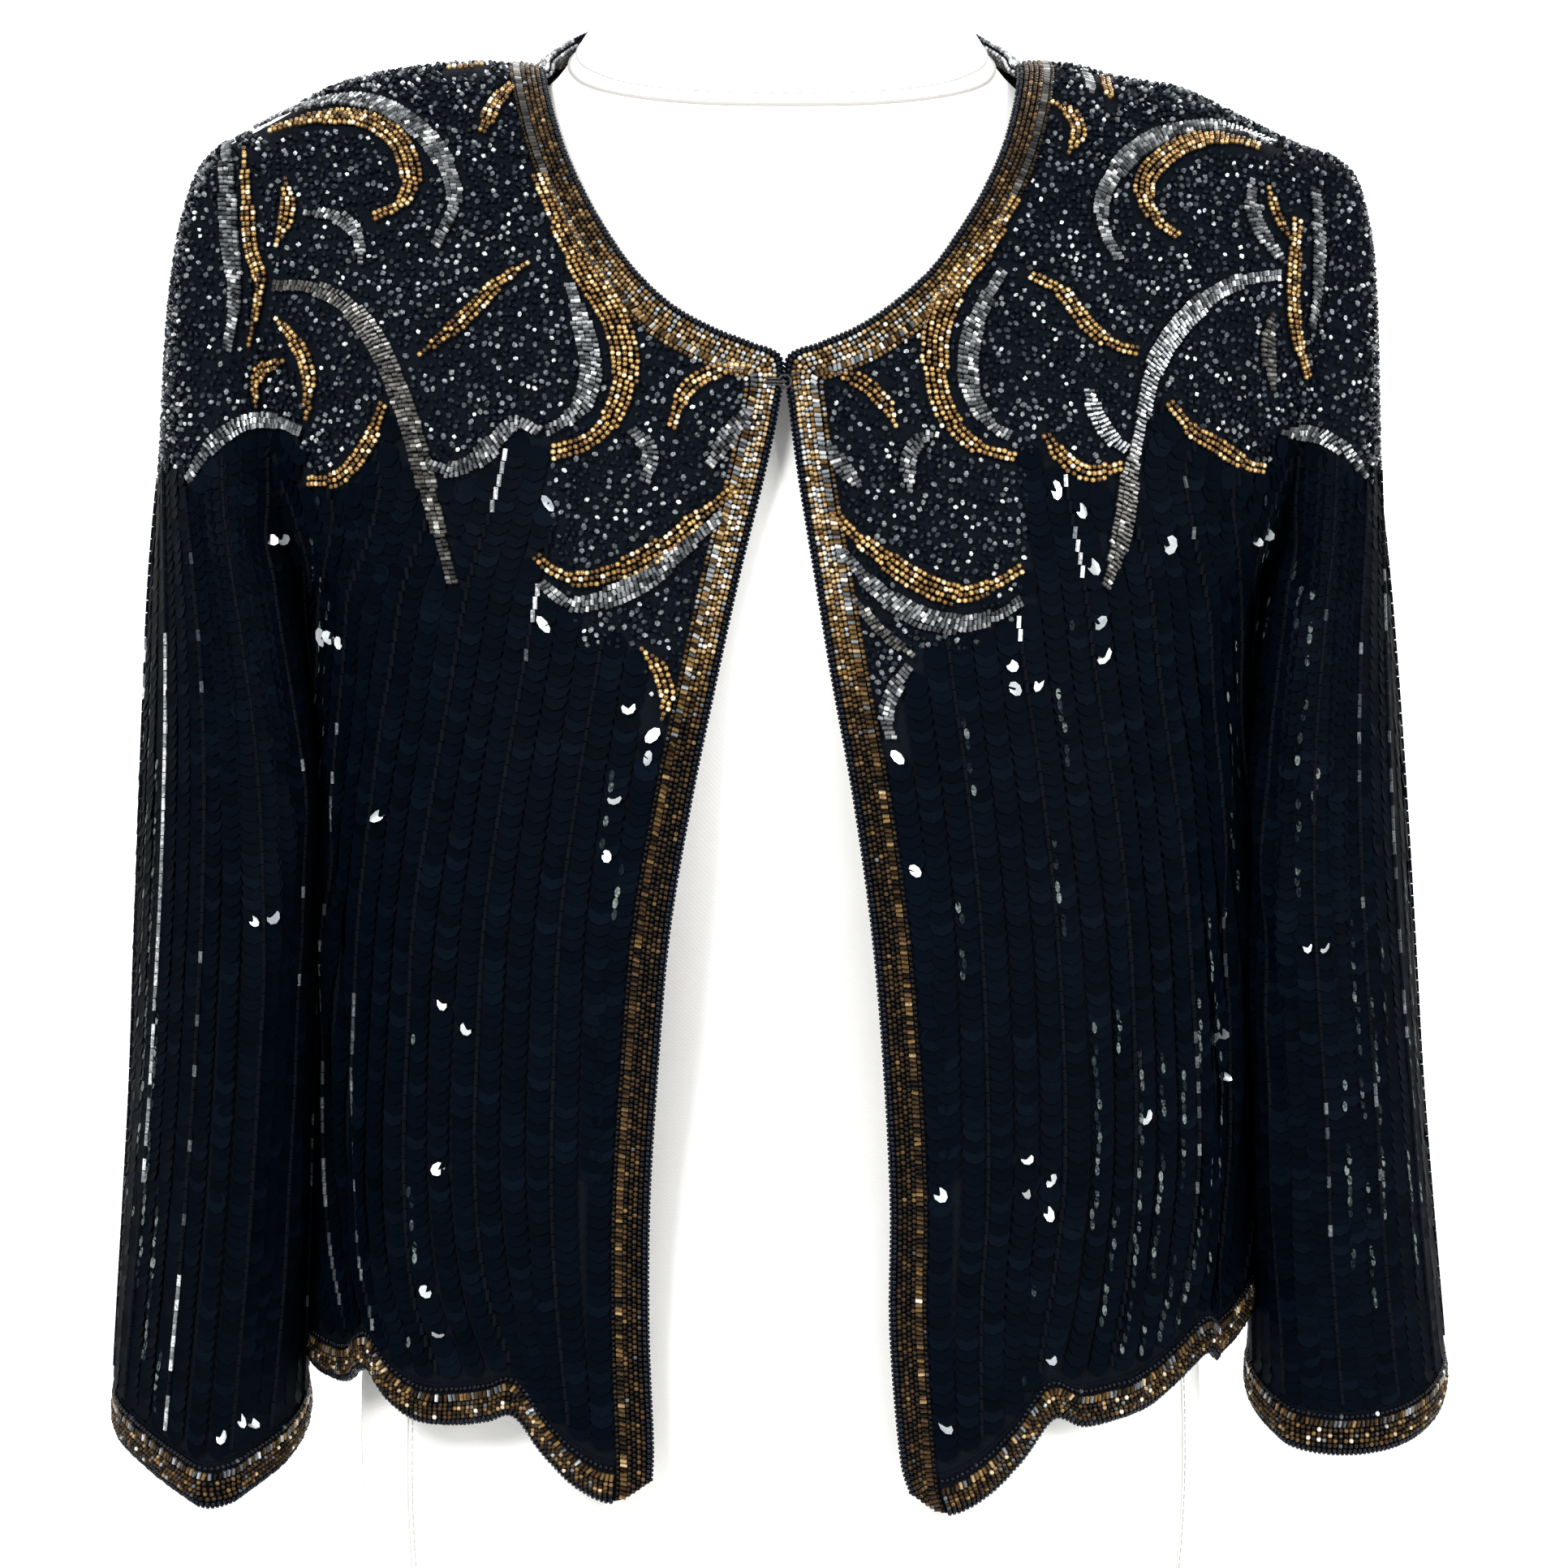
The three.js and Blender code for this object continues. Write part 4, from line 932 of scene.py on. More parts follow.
# Its stops from 0.9 up run to near white: the painted highlights of lit bugle lines and of the seeds
# painted as glints.
BEAD_BLACK = material(
    "bead_black",
    [(0.0, (0.0015, 0.0025, 0.005)), (0.62, (0.004, 0.007, 0.013)), (0.78, (0.035, 0.042, 0.05)),
     (0.9, (0.17, 0.19, 0.2)), (1.0, (0.72, 0.75, 0.76))],
    (0.12, 0.26), specular=0.13, coat=0.03,
)
BEAD_GOLD = material(
    "bead_gold",
    [(0.0, (0.045, 0.022, 0.007)), (0.35, (0.2, 0.105, 0.028)), (0.65, (0.54, 0.34, 0.12)),
     (0.85, (0.9, 0.73, 0.42)), (1.0, (1.0, 0.95, 0.78))],
    (0.16, 0.32), metallic=0.6, coat=0.25,
)
BEAD_BRONZE = material(
    "bead_bronze",
    [(0.0, (0.005, 0.0045, 0.004)), (0.35, (0.055, 0.032, 0.014)), (0.6, (0.2, 0.12, 0.045)),
     (0.8, (0.5, 0.36, 0.2)), (1.0, (0.92, 0.82, 0.66))],
    (0.2, 0.36), metallic=0.4, coat=0.02, specular=0.12,
)
BEAD_SILVER = material(
    "bead_silver",
    [(0.0, (0.02, 0.022, 0.025)), (0.4, (0.12, 0.13, 0.14)), (0.7, (0.38, 0.4, 0.41)),
     (1.0, (0.95, 0.95, 0.93))],
    (0.14, 0.3), metallic=0.5, coat=0.25,
)
BEAD_GREY = material(
    "bead_grey",
    [(0.0, (0.012, 0.012, 0.012)), (0.5, (0.07, 0.068, 0.062)), (0.8, (0.24, 0.235, 0.22)),
     (1.0, (0.6, 0.59, 0.55))],
    (0.25, 0.4), metallic=0.4, coat=0.1,
)
JERSEY = material(
    "jersey", [(0.0, (0.80, 0.79, 0.765)), (1.0, (0.90, 0.895, 0.88))], (0.85, 0.95),
    bump=("weave", 0.12, 0.0003), noise=60.0, sheen=0.15,
)
STITCH = material(
    "stitch", [(0.0, (0.36, 0.345, 0.325)), (1.0, (0.6, 0.58, 0.55))], (0.8, 0.9),
    bump=("grain", 0.3, 0.0002),
)
WIRE_BLACK = material(
    "wire_black", [(0.0, (0.006, 0.006, 0.008)), (1.0, (0.03, 0.03, 0.034))], (0.3, 0.5),
    bump=("grain", 0.3, 0.0002), metallic=0.2,
)

# ---------- Cloth shells ----------
SHEETS = table(
    "name flat area fine",
    ("back", (0.56, 0.60), 0.255, 4),
    ("front_left", (0.30, 0.60), 0.106, 4),
    ("front_right", (0.30, 0.60), 0.113, 4),
    ("sleeve_left", (0.36, 0.58), 0.129, 4),
    ("sleeve_right", (0.36, 0.58), 0.122, 4),
)
shell_points = []
shell_quads = []
for row in SHEETS:
    points, quads = SURFACES[row["name"]].mesh(row["fine"])
    part = Part()
    part.add(points, quads, 0)
    shell = part.build("cloth_" + row["name"], [CLOTH_DARK, LINING], "sequins")
    thick = shell.modifiers.new("thickness", "SOLIDIFY")
    thick.thickness = CLOTH / METRE
    thick.offset = -1
    thick.material_offset = 1
    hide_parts(row["name"])
    shell_quads.append(quads + sum(len(p) for p in shell_points))
    shell_points.append(points)

cloth_tree = BVHTree.FromPolygons(
    np.concatenate(shell_points).tolist(), np.concatenate(shell_quads).tolist()
)
panel_of_face = np.repeat(np.arange(len(SHEETS)), [len(q) for q in shell_quads])

# ---------- Sequins in columns between lines of bugle beads ----------
LINE_PITCH_BODY, LINE_PITCH_BACK = 29.0, 33.0  # at the armpit and at the hem of the back
FRONT_SPREAD = ((17, 33.5), (33, 28.0))  # first line and pitch, at the hem and at the armpit
FRONT_LINES, BACK_LINES, SLEEVE_LINES = (-3, 30), (-7, 8), 11
COLUMNS_PER_LINE = 3
BACK_SHARES = (0, 1.2)  # rows over which the back's lines draw together, in armpit heights
FAR = 999  # added to the distance of beads that no glint may take
ROW_STEPS, ARC_STEPS = 6, 241  # how finely rows and lengths along them are read
SEQUIN_SIZE = 9.9
SEQUIN_PITCH = 4.3
GLINT_WIDE, GLINT_LONG = (3.2, 5.6), (5.0, 8.0)
PAINTED_RIM_HIGHLIGHT = (2.1, 4.4, 2.0)  # a small pale disc laid over a sequin: the painted highlight of the lit rim of a sequin that stands out of its row
LINE_BEAD = (4.6, 1.7)
BESIDE_BAND = 4.4  # of the extra sequin column along a front band
RAISED = 1.7  # the middle of a line's bead or a lit rim over the cloth
# Mean and spread of the tints, and their limits.
LINE_TINTS, LINE_LIMITS = (0.3, 0.12), (0.05, 0.6)
SEQUIN_TINTS, SEQUIN_LIMITS = (0.42, 0.12), (0.02, 0.66)
# Tints of beads painted pale as highlights: over what they count as lit, where lines start and how far
# they go.
LIT, LIT_FROM, BRIGHT_FROM, LIT_SPAN = 0.7, 0.72, 0.86, 0.13
PAINTED_RIM_TINTS, GLINT_TINTS = (0.74, 0.95), (0.1, 0.9)
PAINTED_RIM_SHARE, PAINTED_RIM_ASIDE = 1.7, (2.6, 0.5)
SEQUIN_LIFT, SEQUIN_TILT = (0.9, 0.15), -0.1  # least and spread of its height, and its slope
GLINT_REACH, GLINT_LIFT, GLINT_TURN = 4.6, 0.8, 0.9
TIP_ACROSS, TIP_DOWN, TIP_GLINT = 0.035, 0.025, 0.25  # how far sequins lean by lot
NEAREST_COLUMN = BESIDE_BAND * 1.7  # the other columns keep this far from the band
DOWN_STEP = 0.05  # grid rows to each side of a bead where its downward way is taken
# Sequins turned to face a lamp, with a painted glint in their pale colour: where, by distance from the
# middle and height.
PAINTED_GLINTS = table(
    "x z",
    (-90, 494), (-123, 462), (-66, 420), (-56, 412), (-58, 400), (-70, 386), (-70, 364),
    (-95, 452), (-137, 240), (-145, 189), (-135, 175), (-131, 303), (-228, 130), (-129, 165),
    (-157, 374), (-205, 334), (-128, 295), (-218, 131), (-201, 480), (-177, 440), (42, 403),
    (45, 359), (84, 450), (86, 434), (87, 428), (113, 469), (114, 451), (99, 501), (108, 492),
    (93, 260), (86, 243), (88, 233), (96, 236), (100, 222), (52, 232), (62, 141), (168, 283),
    (173, 268), (141, 256), (101, 162), (144, 480), (119, 437), (91, 427), (207, 320), (185, 480),
)
# Runs of sequins with painted sheen, small pale discs standing for lit rims: middle, half breadth,
# heights and how many do.
PAINTED_SHEENS = table(
    "x half low high share",
    (122, 5, 175, 300, 0.5), (134, 5, 160, 290, 0.5), (147, 5, 165, 280, 0.4),
    (158, 4, 170, 300, 0.45), (168, 4, 190, 330, 0.35), (104, 4, 330, 460, 0.3),
    (176, 4, 330, 440, 0.3), (226, 4, 190, 330, 0.4), (236, 4, 170, 330, 0.4),
    (254, 4, 180, 480, 0.4), (205, 4, 340, 470, 0.3), (190, 4, 440, 500, 0.3),
    (-250, 4, 120, 440, 0.5), (66, 4, 300, 420, 0.2), (92, 5, 120, 200, 0.15),
    (-66, 5, 330, 400, 0.25), (-252, 5, 150, 420, 0.35), (-262, 4, 180, 460, 0.2),
    (-146, 5, 140, 300, 0.12), (-180, 4, 380, 500, 0.15),
)
# Bugle lines with painted highlights, their beads tinted pale: middle, half breadth, heights and how
# many beads do.
PAINTED_LIT_LINES = table(
    "x half low high share",
    (-100, 14, 450, 530, 0.85), (-98, 12, 380, 450, 0.25), (96, 14, 445, 530, 0.75),
    (155, 12, 470, 530, 0.5), (-247, 8, 119, 440, 0.9), (-186, 9, 160, 420, 0.3),
    (-176, 8, 150, 420, 0.35), (-165, 8, 150, 300, 0.25), (165, 8, 150, 330, 0.35),
    (240, 9, 160, 480, 0.3), (218, 8, 200, 480, 0.2), (-232, 6, 200, 480, 0.15),
)
LAMP = Vector((-0.55, -1.0, 0.85)).normalized()
VIEW = Vector((-0.043, -0.993, 0.113)).normalized()


def row_lengths(surface, r):
    """Grid columns along one row, and the length of cloth up to each of them."""
    c = np.linspace(0, surface.columns if surface.wrap else surface.columns - 1, ARC_STEPS)
    arc = surface.plain(np.full(c.shape, r), c)
    length = np.concatenate([[0], np.cumsum(np.linalg.norm(np.diff(arc, axis=0), axis=1))])
    return c, length


def columns_at(lengths, tables, left=-1, right=99):
    """The grid column of each row at a length from its start, or one beyond the panel."""
    return np.array([np.interp(a, t[1], t[0], left=left, right=right) for a, t in zip(lengths, tables)])


def column_kinds(k):
    """A bugle line and the sequin columns after it, as shares of a line's pitch."""
    yield "line", float(k)
    for j in range(1, COLUMNS_PER_LINE + 1):
        yield "sequins", k + (j - 0.5) / COLUMNS_PER_LINE


def drawn(zone, places, share):
    """Beads in front, in an upright zone of the picture, of which a share is drawn by lot."""
    near = (abs(places[:, 0] - zone["x"]) < zone["half"]) & (places[:, 1] < 0)
    near &= (places[:, 2] > zone["low"]) & (places[:, 2] < zone["high"])
    return near & (rng.random(len(places)) < share)


def sew_line(part, places, normals, down):
    """A line of bugle beads, of which some are painted pale as highlights."""
    tint = np.clip(rng.normal(*LINE_TINTS, len(places)), *LINE_LIMITS)
    for zone in PAINTED_LIT_LINES:
        chosen = drawn(zone, places, zone["share"])
        least = BRIGHT_FROM if zone["share"] > LIT else LIT_FROM
        tint[chosen] = rng.uniform(least, least + LIT_SPAN, chosen.sum())
    places = places + normals * RAISED
    # Beads tinted over LIT are sewn in the bead material, whose pale top is the painted highlight; the
    # rest in the dark cloth material.
    for k, these in enumerate((tint <= LIT, tint > LIT)):
        part.scatter(BUGLE, places[these], down[these], normals[these], LINE_BEAD, k, tint[these], False)


def sew_sequins(part, places, normals, down):
    """A column of sequins, with a few painted highlights: pale discs for lit rims and pale glints."""
    n = len(places)
    across = np.cross(down, normals)
    tip = normals + down * SEQUIN_TILT
    tip = tip + across * rng.normal(0, TIP_ACROSS, (n, 1)) + down * rng.normal(0, TIP_DOWN, (n, 1))
    lift = SEQUIN_LIFT[0] + rng.random(n) * SEQUIN_LIFT[1]
    tint = np.clip(rng.normal(*SEQUIN_TINTS, n), *SEQUIN_LIMITS)
    # Painted sheen: small pale discs beside some sequins, standing for their lit rims.
    for zone in PAINTED_SHEENS:
        chosen = drawn(zone, places, zone["share"] * PAINTED_RIM_SHARE)
        count = chosen.sum()
        aside = across[chosen] * rng.normal(*PAINTED_RIM_ASIDE, (count, 1))
        painted_rims = places[chosen] + normals[chosen] * RAISED + aside
        part.scatter(SEQUIN, painted_rims, across[chosen], tip[chosen], PAINTED_RIM_HIGHLIGHT, 0, rng.uniform(*PAINTED_RIM_TINTS, count))
    behind = np.where(places[:, 1] < 0, 0, FAR)
    # Painted glints: the sequin nearest each glint turns to the lamp, and its colour is painted pale.
    for glint in PAINTED_GLINTS:
        d = np.hypot(places[:, 0] - glint["x"], places[:, 2] - glint["z"]) + behind
        k = int(d.argmin())
        if d[k] < GLINT_REACH:
            tip[k] = unit(np.array(LAMP + VIEW)) + rng.normal(0, TIP_GLINT, 3)
            tint[k] = 1.0
            lift[k] += GLINT_LIFT
    places = places + normals * lift[:, None]
    # Each glint is a small sequin in the pale painted glint material.
    plain = tint < 1.0
    part.scatter(SEQUIN, places[plain], across[plain], tip[plain], (SEQUIN_SIZE,) * 3, 0, tint[plain])
    for k in np.flatnonzero(~plain):
        turned = across[k] + down[k] * rng.uniform(-GLINT_TURN, GLINT_TURN)
        size = (rng.uniform(*GLINT_WIDE), rng.uniform(*GLINT_LONG), SEQUIN_SIZE)
        shade = rng.uniform(*GLINT_TINTS)
        part.scatter(SEQUIN, places[k][None], turned[None], tip[k][None], size, 1, shade)


def panel_columns(name, surface):
    """Every line and sequin column of a panel: kind, and grid column at each row."""
    rows = np.linspace(0.0, surface.rows - 1.0, (surface.rows - 1) * ROW_STEPS + 1)
    tables = [row_lengths(surface, r) for r in rows]
    share = rows / ARMPIT_ROW
    found = []
    if name.startswith("front"):
        # Distance from the band's inner edge: the lines spread towards the hem.
        band = np.array([np.interp(1.0, c, length) for c, length in tables])
        for k in range(*FRONT_LINES):
            for kind, place in column_kinds(k):
                low, high = (start + pitch * place for start, pitch in FRONT_SPREAD)
                away = mix(low, high, share)
                columns = columns_at(band + away, tables)
                columns[away < NEAREST_COLUMN] = -1
                found.append((kind, rows, columns))
        beside = columns_at(band + BESIDE_BAND, tables, None, None)
        found.append(("sequins", rows, beside))
    elif name == "back":
        total = np.array([t[1][-1] for t in tables])
        pitch = mix(LINE_PITCH_BACK, LINE_PITCH_BODY, np.clip(share, *BACK_SHARES))
        for k in range(*BACK_LINES):
            for kind, place in column_kinds(k):
                found.append((kind, rows, columns_at(total / 2 + place * pitch, tables)))
    else:
        for k in range(SLEEVE_LINES):
            for kind, place in column_kinds(k):
                found.append((kind, rows, np.full(rows.shape, place / SLEEVE_LINES * surface.columns)))
    return found


# Grid rows and columns that stay free at the edges of a panel: first row, last row, first
# column, last column.
INSETS = {
    "front": (1.12, 1.2, 1.05, 1.08), "back": (1.12, 1.2, 0.1, 1.08), "sleeve": (0.15, 2.15, -1, -99),
}


def kept_rows(name, surface, rows, columns):
    """Which rows of a column lie on the panel, inside its bands."""
    top, bottom, low, high = INSETS[name.split("_")[0]]
    inside = (rows > top) & (rows < surface.rows - bottom)
    return inside & (columns > low) & (columns < surface.columns - high)


# How each kind of column is sewn, its pitch and the room it leaves beside a scroll.
COLUMNS = {"line": (sew_line, LINE_BEAD[0] * 1.08, 1.0), "sequins": (sew_sequins, SEQUIN_PITCH, 2.2)}
decorations = {row["name"]: [] for row in SHEETS}
for row in SHEETS:
    name = row["name"]
    surface = SURFACES[name]
    parts = {kind: Part() for kind in COLUMNS}
    for kind, rows, columns in panel_columns(name, surface):
        sew, pitch, room = COLUMNS[kind]
        kept = np.flatnonzero(kept_rows(name, surface, rows, columns))
        for run in np.split(kept, np.flatnonzero(np.diff(kept) > 1) + 1):
            if len(run) < 3:
                continue
            where = spaced(surface.at(rows[run], columns[run]), pitch)
            r, c = (np.interp(where, np.arange(len(run)), values[run]) for values in (rows, columns))
            places, normals = surface.at(r, c), surface.normal(r, c)
            ahead = surface.at(np.clip(r + DOWN_STEP, 0, surface.rows - 1), c)
            behind = surface.at(np.clip(r - DOWN_STEP, 0, surface.rows - 1), c)
            down = unit(ahead - behind) * (1 if surface.wrap else -1)
            free = ~in_yoke(places) & ~near_scroll(places, room)
            if free.any():
                sew(parts[kind], places[free], normals[free], down[free])
    decorations[name] += [
        parts["sequins"].build("sequins_" + name, [SEQUIN_NAVY, SEQUIN_PAINTED_GLINT], "sequins"),
        parts["line"].build("bugle_lines_" + name, [CLOTH_DARK, BEAD_BLACK], "sequins"),
    ]

# ---------- Seed beads of the yoke ----------
SEED_SIZE, SEED_SHAPE, SEED_LIFT = 2.4, (0.9, 1, 1), 1.1
SEED_PITCH = {"back": 2.75, "front": 2.3, "sleeve": 2.4}
SEED_TRIES = 3.2  # places tried for each one that the pitch leaves room for
GREY_SHARE, SEED_GLINT_SHARE = 0.42, 0.09  # of the seeds; the pale ones are smaller seeds painted near white as glints
SEED_TINTS, GREY_TINTS, SEED_GLINT_TINTS = (0.32, 0.15), (0.7, 0.9), (0.88, 1.02)
SEED_SIZES, SEED_GLINT_SIZE, SEED_LEAN, SEED_ROOM = (0.86, 1.06), 0.82, 0.35, 0.9
NEIGHBOURS = list(product((-1, 0, 1), repeat=3))
NECK_CORNER = 6  # columns of the back's grid beside its neck edge


def squared(p, q):
    return (p[0] - q[0]) ** 2 + (p[1] - q[1]) ** 2 + (p[2] - q[2]) ** 2


def scattered(points, quads, pitch):
    """Even but irregular places on a mesh, no two nearer than the pitch."""
    a, b, c, d = (points[quads[:, k]] for k in range(4))
    area = np.linalg.norm(np.cross(c - a, d - b), axis=1) / 2
    wanted = rng.poisson(area / (pitch * pitch) * SEED_TRIES)
    face = np.repeat(np.arange(len(quads)), wanted)
    u, v = rng.random((2, len(face), 1))
    places = mix(mix(a[face], b[face], u), mix(d[face], c[face], u), v)
    normals = unit(np.cross(c - a, d - b))[face]
    order = rng.permutation(len(places))
    places, normals = places[order], normals[order]
    cells = {}
    keep = []
    for i, (p, key) in enumerate(zip(places.tolist(), np.floor(places / pitch).astype(int).tolist())):
        around = (cells.get(tuple(map(add, key, step)), ()) for step in NEIGHBOURS)
        if all(squared(p, q) >= pitch * pitch for cell in around for q in cell):
            cells.setdefault(tuple(key), []).append(p)
            keep.append(i)
    return places[keep], normals[keep]


def band_cells(name, surface, quads, fine):
    """Which quads of a shell lie under a band."""
    columns = surface.columns * fine if surface.wrap else (surface.columns - 1) * fine
    cell = np.arange(len(quads))
    r, c = cell // columns, cell % columns
    if surface.wrap:
        return r >= (surface.rows - 2) * fine
    under = r < fine
    if name.startswith("front"):
        return under | (c < fine)
    beside = NECK_CORNER * fine
    return under | ((r >= (surface.rows - 2) * fine) & (c >= beside) & (c < columns - beside))


for row in SHEETS:
    name = row["name"]
    surface = SURFACES[name]
    points, quads = surface.mesh(row["fine"])
    quads = quads[~band_cells(name, surface, quads, row["fine"])]
    centres = points[quads].mean(1)
    quads = quads[in_yoke(centres)]
    places, normals = scattered(points, quads, SEED_PITCH[name.split("_")[0]])
    free = ~near_scroll(places, SEED_ROOM)
    places, normals = places[free], normals[free]
    n = len(places)
    spin = rng.normal(0, 1, (n, 3))
    tint = np.clip(rng.normal(*SEED_TINTS, n), 0.0, SEQUIN_LIMITS[1])
    kind = rng.random(n)
    grey, pale = kind < GREY_SHARE, kind < SEED_GLINT_SHARE
    tint[grey] = rng.uniform(*GREY_TINTS, grey.sum())
    # Painted glints: the pale seeds stand for highlights on the black beads.
    tint[pale] = rng.uniform(*SEED_GLINT_TINTS, pale.sum())
    size = SEED_SIZE * rng.uniform(*SEED_SIZES, (n, 1))
    size[pale] *= SEED_GLINT_SIZE
    lean = normals + rng.normal(0, SEED_LEAN, (n, 3))
    seeds = Part()
    seeds.scatter(SEED, places + normals * SEED_LIFT, spin, lean, size * SEED_SHAPE, 0, tint, False)
    decorations[name].append(seeds.build("yoke_beads_" + name, [BEAD_BLACK], "sequins"))

# ---------- Scrolls ----------
# How each fill is sewn: bead, its length and breadth, pitch along the scroll, mean and spread
# of its tints, and material.
FILLS = {
    "gold": (ROUND, (2.35, 2.2), 2.1, (0.42, 0.28), 0),
    "silver": (BUGLE, (2.1, 1.6), 1.75, (0.38, 0.28), 1),
    "grey": (BUGLE, (2.1, 1.6), 1.75, (0.4, 0.25), 2),
}
SLANT = 0.25  # rows lie a little aslant on the scroll
SCROLL_LIFT, SCROLL_BULGE, BULGE_WIDTH, SCROLL_JITTER = 1.5, 0.8, 4.0, (0.14, 0.12)
RAY_FROM, RIDGE_SLACK = 400.0, 20  # where rays start, and how far past the shoulder they count
BEAD_GAP = 0.96  # length of a bead over its step across the scroll
scroll_parts = {row["name"]: Part() for row in SHEETS}


def scroll_path(line, facing):
    """A scroll's middle line on the cloth, as met from the front or from behind."""
    found = []
    for x, z in line:
        place = cloth_tree.ray_cast(Vector((x, facing * RAY_FROM, z)), Vector((0, -facing, 0)))[0]
        if place is not None and (place.y - RIDGE_Y) * facing > -RIDGE_SLACK:
            found.append(place)
    return np.array(found)


for facing, lines in LINES.items():
    for fill, width, line in lines:
        bead, size, pitch, tints, material_index = FILLS[fill]
        path = scroll_path(line, facing)
        if len(path) < 4:
            continue
        stations = read_path(path, spaced(path, pitch))
        tangents = unit(np.gradient(stations, axis=0))
        for i, (centre, tangent) in enumerate(zip(stations, tangents)):
            share = min(max((i + 0.5) / len(stations), BEADED_ENDS[0]), BEADED_ENDS[1])
            taper = math.sin(math.pi * share) ** TAPER
            count = max(int(round(width * taper / size[0])), 1)
            _, normal, face, _ = cloth_tree.find_nearest(Vector(centre))
            across = unit(np.cross(np.array(normal), tangent) + SLANT * tangent)
            panel = SHEETS[panel_of_face[face]]["name"]
            for k in range(count):
                step = (k - (count - 1) / 2) * size[0]
                place, away, _, _ = cloth_tree.find_nearest(Vector(centre + across * step))
                away = np.array(away)
                bulge = SCROLL_LIFT + SCROLL_BULGE * math.cos(math.pi * step / max(width, BULGE_WIDTH))
                tint = float(np.clip(rng.normal(*tints), 0.0, 1.0))
                place = np.array([place]) + away * bulge + rng.normal(0, SCROLL_JITTER[0], 3)
                axis = (across + rng.normal(0, SCROLL_JITTER[1], 3))[None]
                sizes = (size[0] * BEAD_GAP, size[1])
                scroll_parts[panel].scatter(
                    bead, place, axis, away[None], sizes, material_index, tint, fill == "gold"
                )
for name, part in scroll_parts.items():
    if part.count:
        piece = part.build("scrolls_" + name, [BEAD_GOLD, BEAD_SILVER, BEAD_GREY], "bands")
        decorations[name].append(piece)

# ---------- Beaded edgings ----------
# Materials of an edging, by index.
BRONZE, SILVER, STRIP, BLACK, GREY = range(5)
EDGING_MATERIALS = [BEAD_BRONZE, BEAD_SILVER, CLOTH_DARK, BEAD_BLACK, BEAD_GREY]
# Rows of an edging from its free edge inward: share of its breadth, bead, its length and breadth,
# pitch, height over the cloth, material, and mean and spread of its tints. Bugles lie across.
EDGING = table(
    "share bead size pitch lift material tints",
    (-0.01, SEED, (2.0, 1.8), 1.8, 0.5, BLACK, (0.2, 0.12)),
    (0.07, ROUND, (2.1, 2.0), 2.0, 1.2, BLACK, (0.22, 0.15)),
    (0.2, ROUND, (2.1, 2.0), 2.05, 1.8, BRONZE, (0.4, 0.17)),
    (0.33, ROUND, (2.1, 2.0), 2.05, 2.0, BRONZE, (0.48, 0.17)),
    (0.46, ROUND, (2.1, 2.0), 2.05, 2.0, BRONZE, (0.42, 0.17)),
    (0.59, ROUND, (2.1, 2.0), 2.05, 1.9, BRONZE, (0.45, 0.17)),
    (0.75, BUGLE, (2.6, 1.6), 1.8, 1.6, SILVER, (0.42, 0.22)),
    (0.91, ROUND, (2.0, 2.0), 2.1, 1.1, BRONZE, (0.26, 0.14)),
)
# How much brighter the front and neck edgings are at a height, how many of their beads are
# silver there, and how many of the bugles' row aren't.
EDGE_LIGHT = table(
    "z lift silver swap",
    (100, -0.34, 0.015, 1.0), (330, -0.37, 0.0, 1.0), (400, -0.33, 0.01, 1.0),
    (435, 0.02, 0.12, 0.7), (460, 0.2, 0.28, 0.5), (545, 0.21, 0.32, 0.5), (565, 0.1, 0.16, 0.8),
    (600, -0.16, 0.03, 1.0), (640, -0.22, 0.02, 1.0), (700, -0.16, 0.08, 1.0),
)
GREY_ABOVE = 575  # over this the bugles' row is muted grey
# The same of the hems and cuffs, where the light is by lot: shares of the three lifts.
HEM_SWAP, CUFF_SWAP, HEM_SILVER = 0.75, 0.62, 0.07
HEM_LIFTS, HEM_SHARES = (-0.32, -0.12, 0.28), (0.68, 0.22, 0.1)
HEM_LAST = 0.85  # rows of a hem or cuff further in than this are black
BUGLE_SLANT, ROW_JITTER, BAND_STEPS = 0.2, (0.1, 0.12), 400
STRIP_LIFT, STRIP_LINES = 0.5, 6  # the dark strip under the beads of an edging
EDGE_WAY = 0.3  # share of the breadth from which beads outside the edge take their way out
# From here out to the neck points the rows nearer the edge than this are light, outside and in.
NECK_POINT, POINT_ROWS, POINT_FACING = 82, 0.3, 0.5
POINT_TINTS = (0.45, 0.95)
# The back neck's edge is beaded on its inner face too, which shows over the form.
NECK_FACING = table(
    "share bead size pitch lift material tints",
    (0.04, ROUND, (2.2, 2.2), 2.3, 0.6, BLACK, (0.3, 0.15)),
    (0.22, BUGLE, (3.0, 1.7), 1.9, 1.0, SILVER, (0.62, 0.22)),
    (0.42, BUGLE, (3.0, 1.7), 1.9, 1.0, SILVER, (0.5, 0.25)),
    (0.6, ROUND, (2.2, 2.2), 2.3, 0.8, BRONZE, (0.45, 0.25)),
    (0.76, ROUND, (2.2, 2.2), 2.3, 0.6, BLACK, (0.3, 0.15)),
    (0.92, ROUND, (2.2, 2.2), 2.3, 0.4, BLACK, (0.3, 0.15)),
)
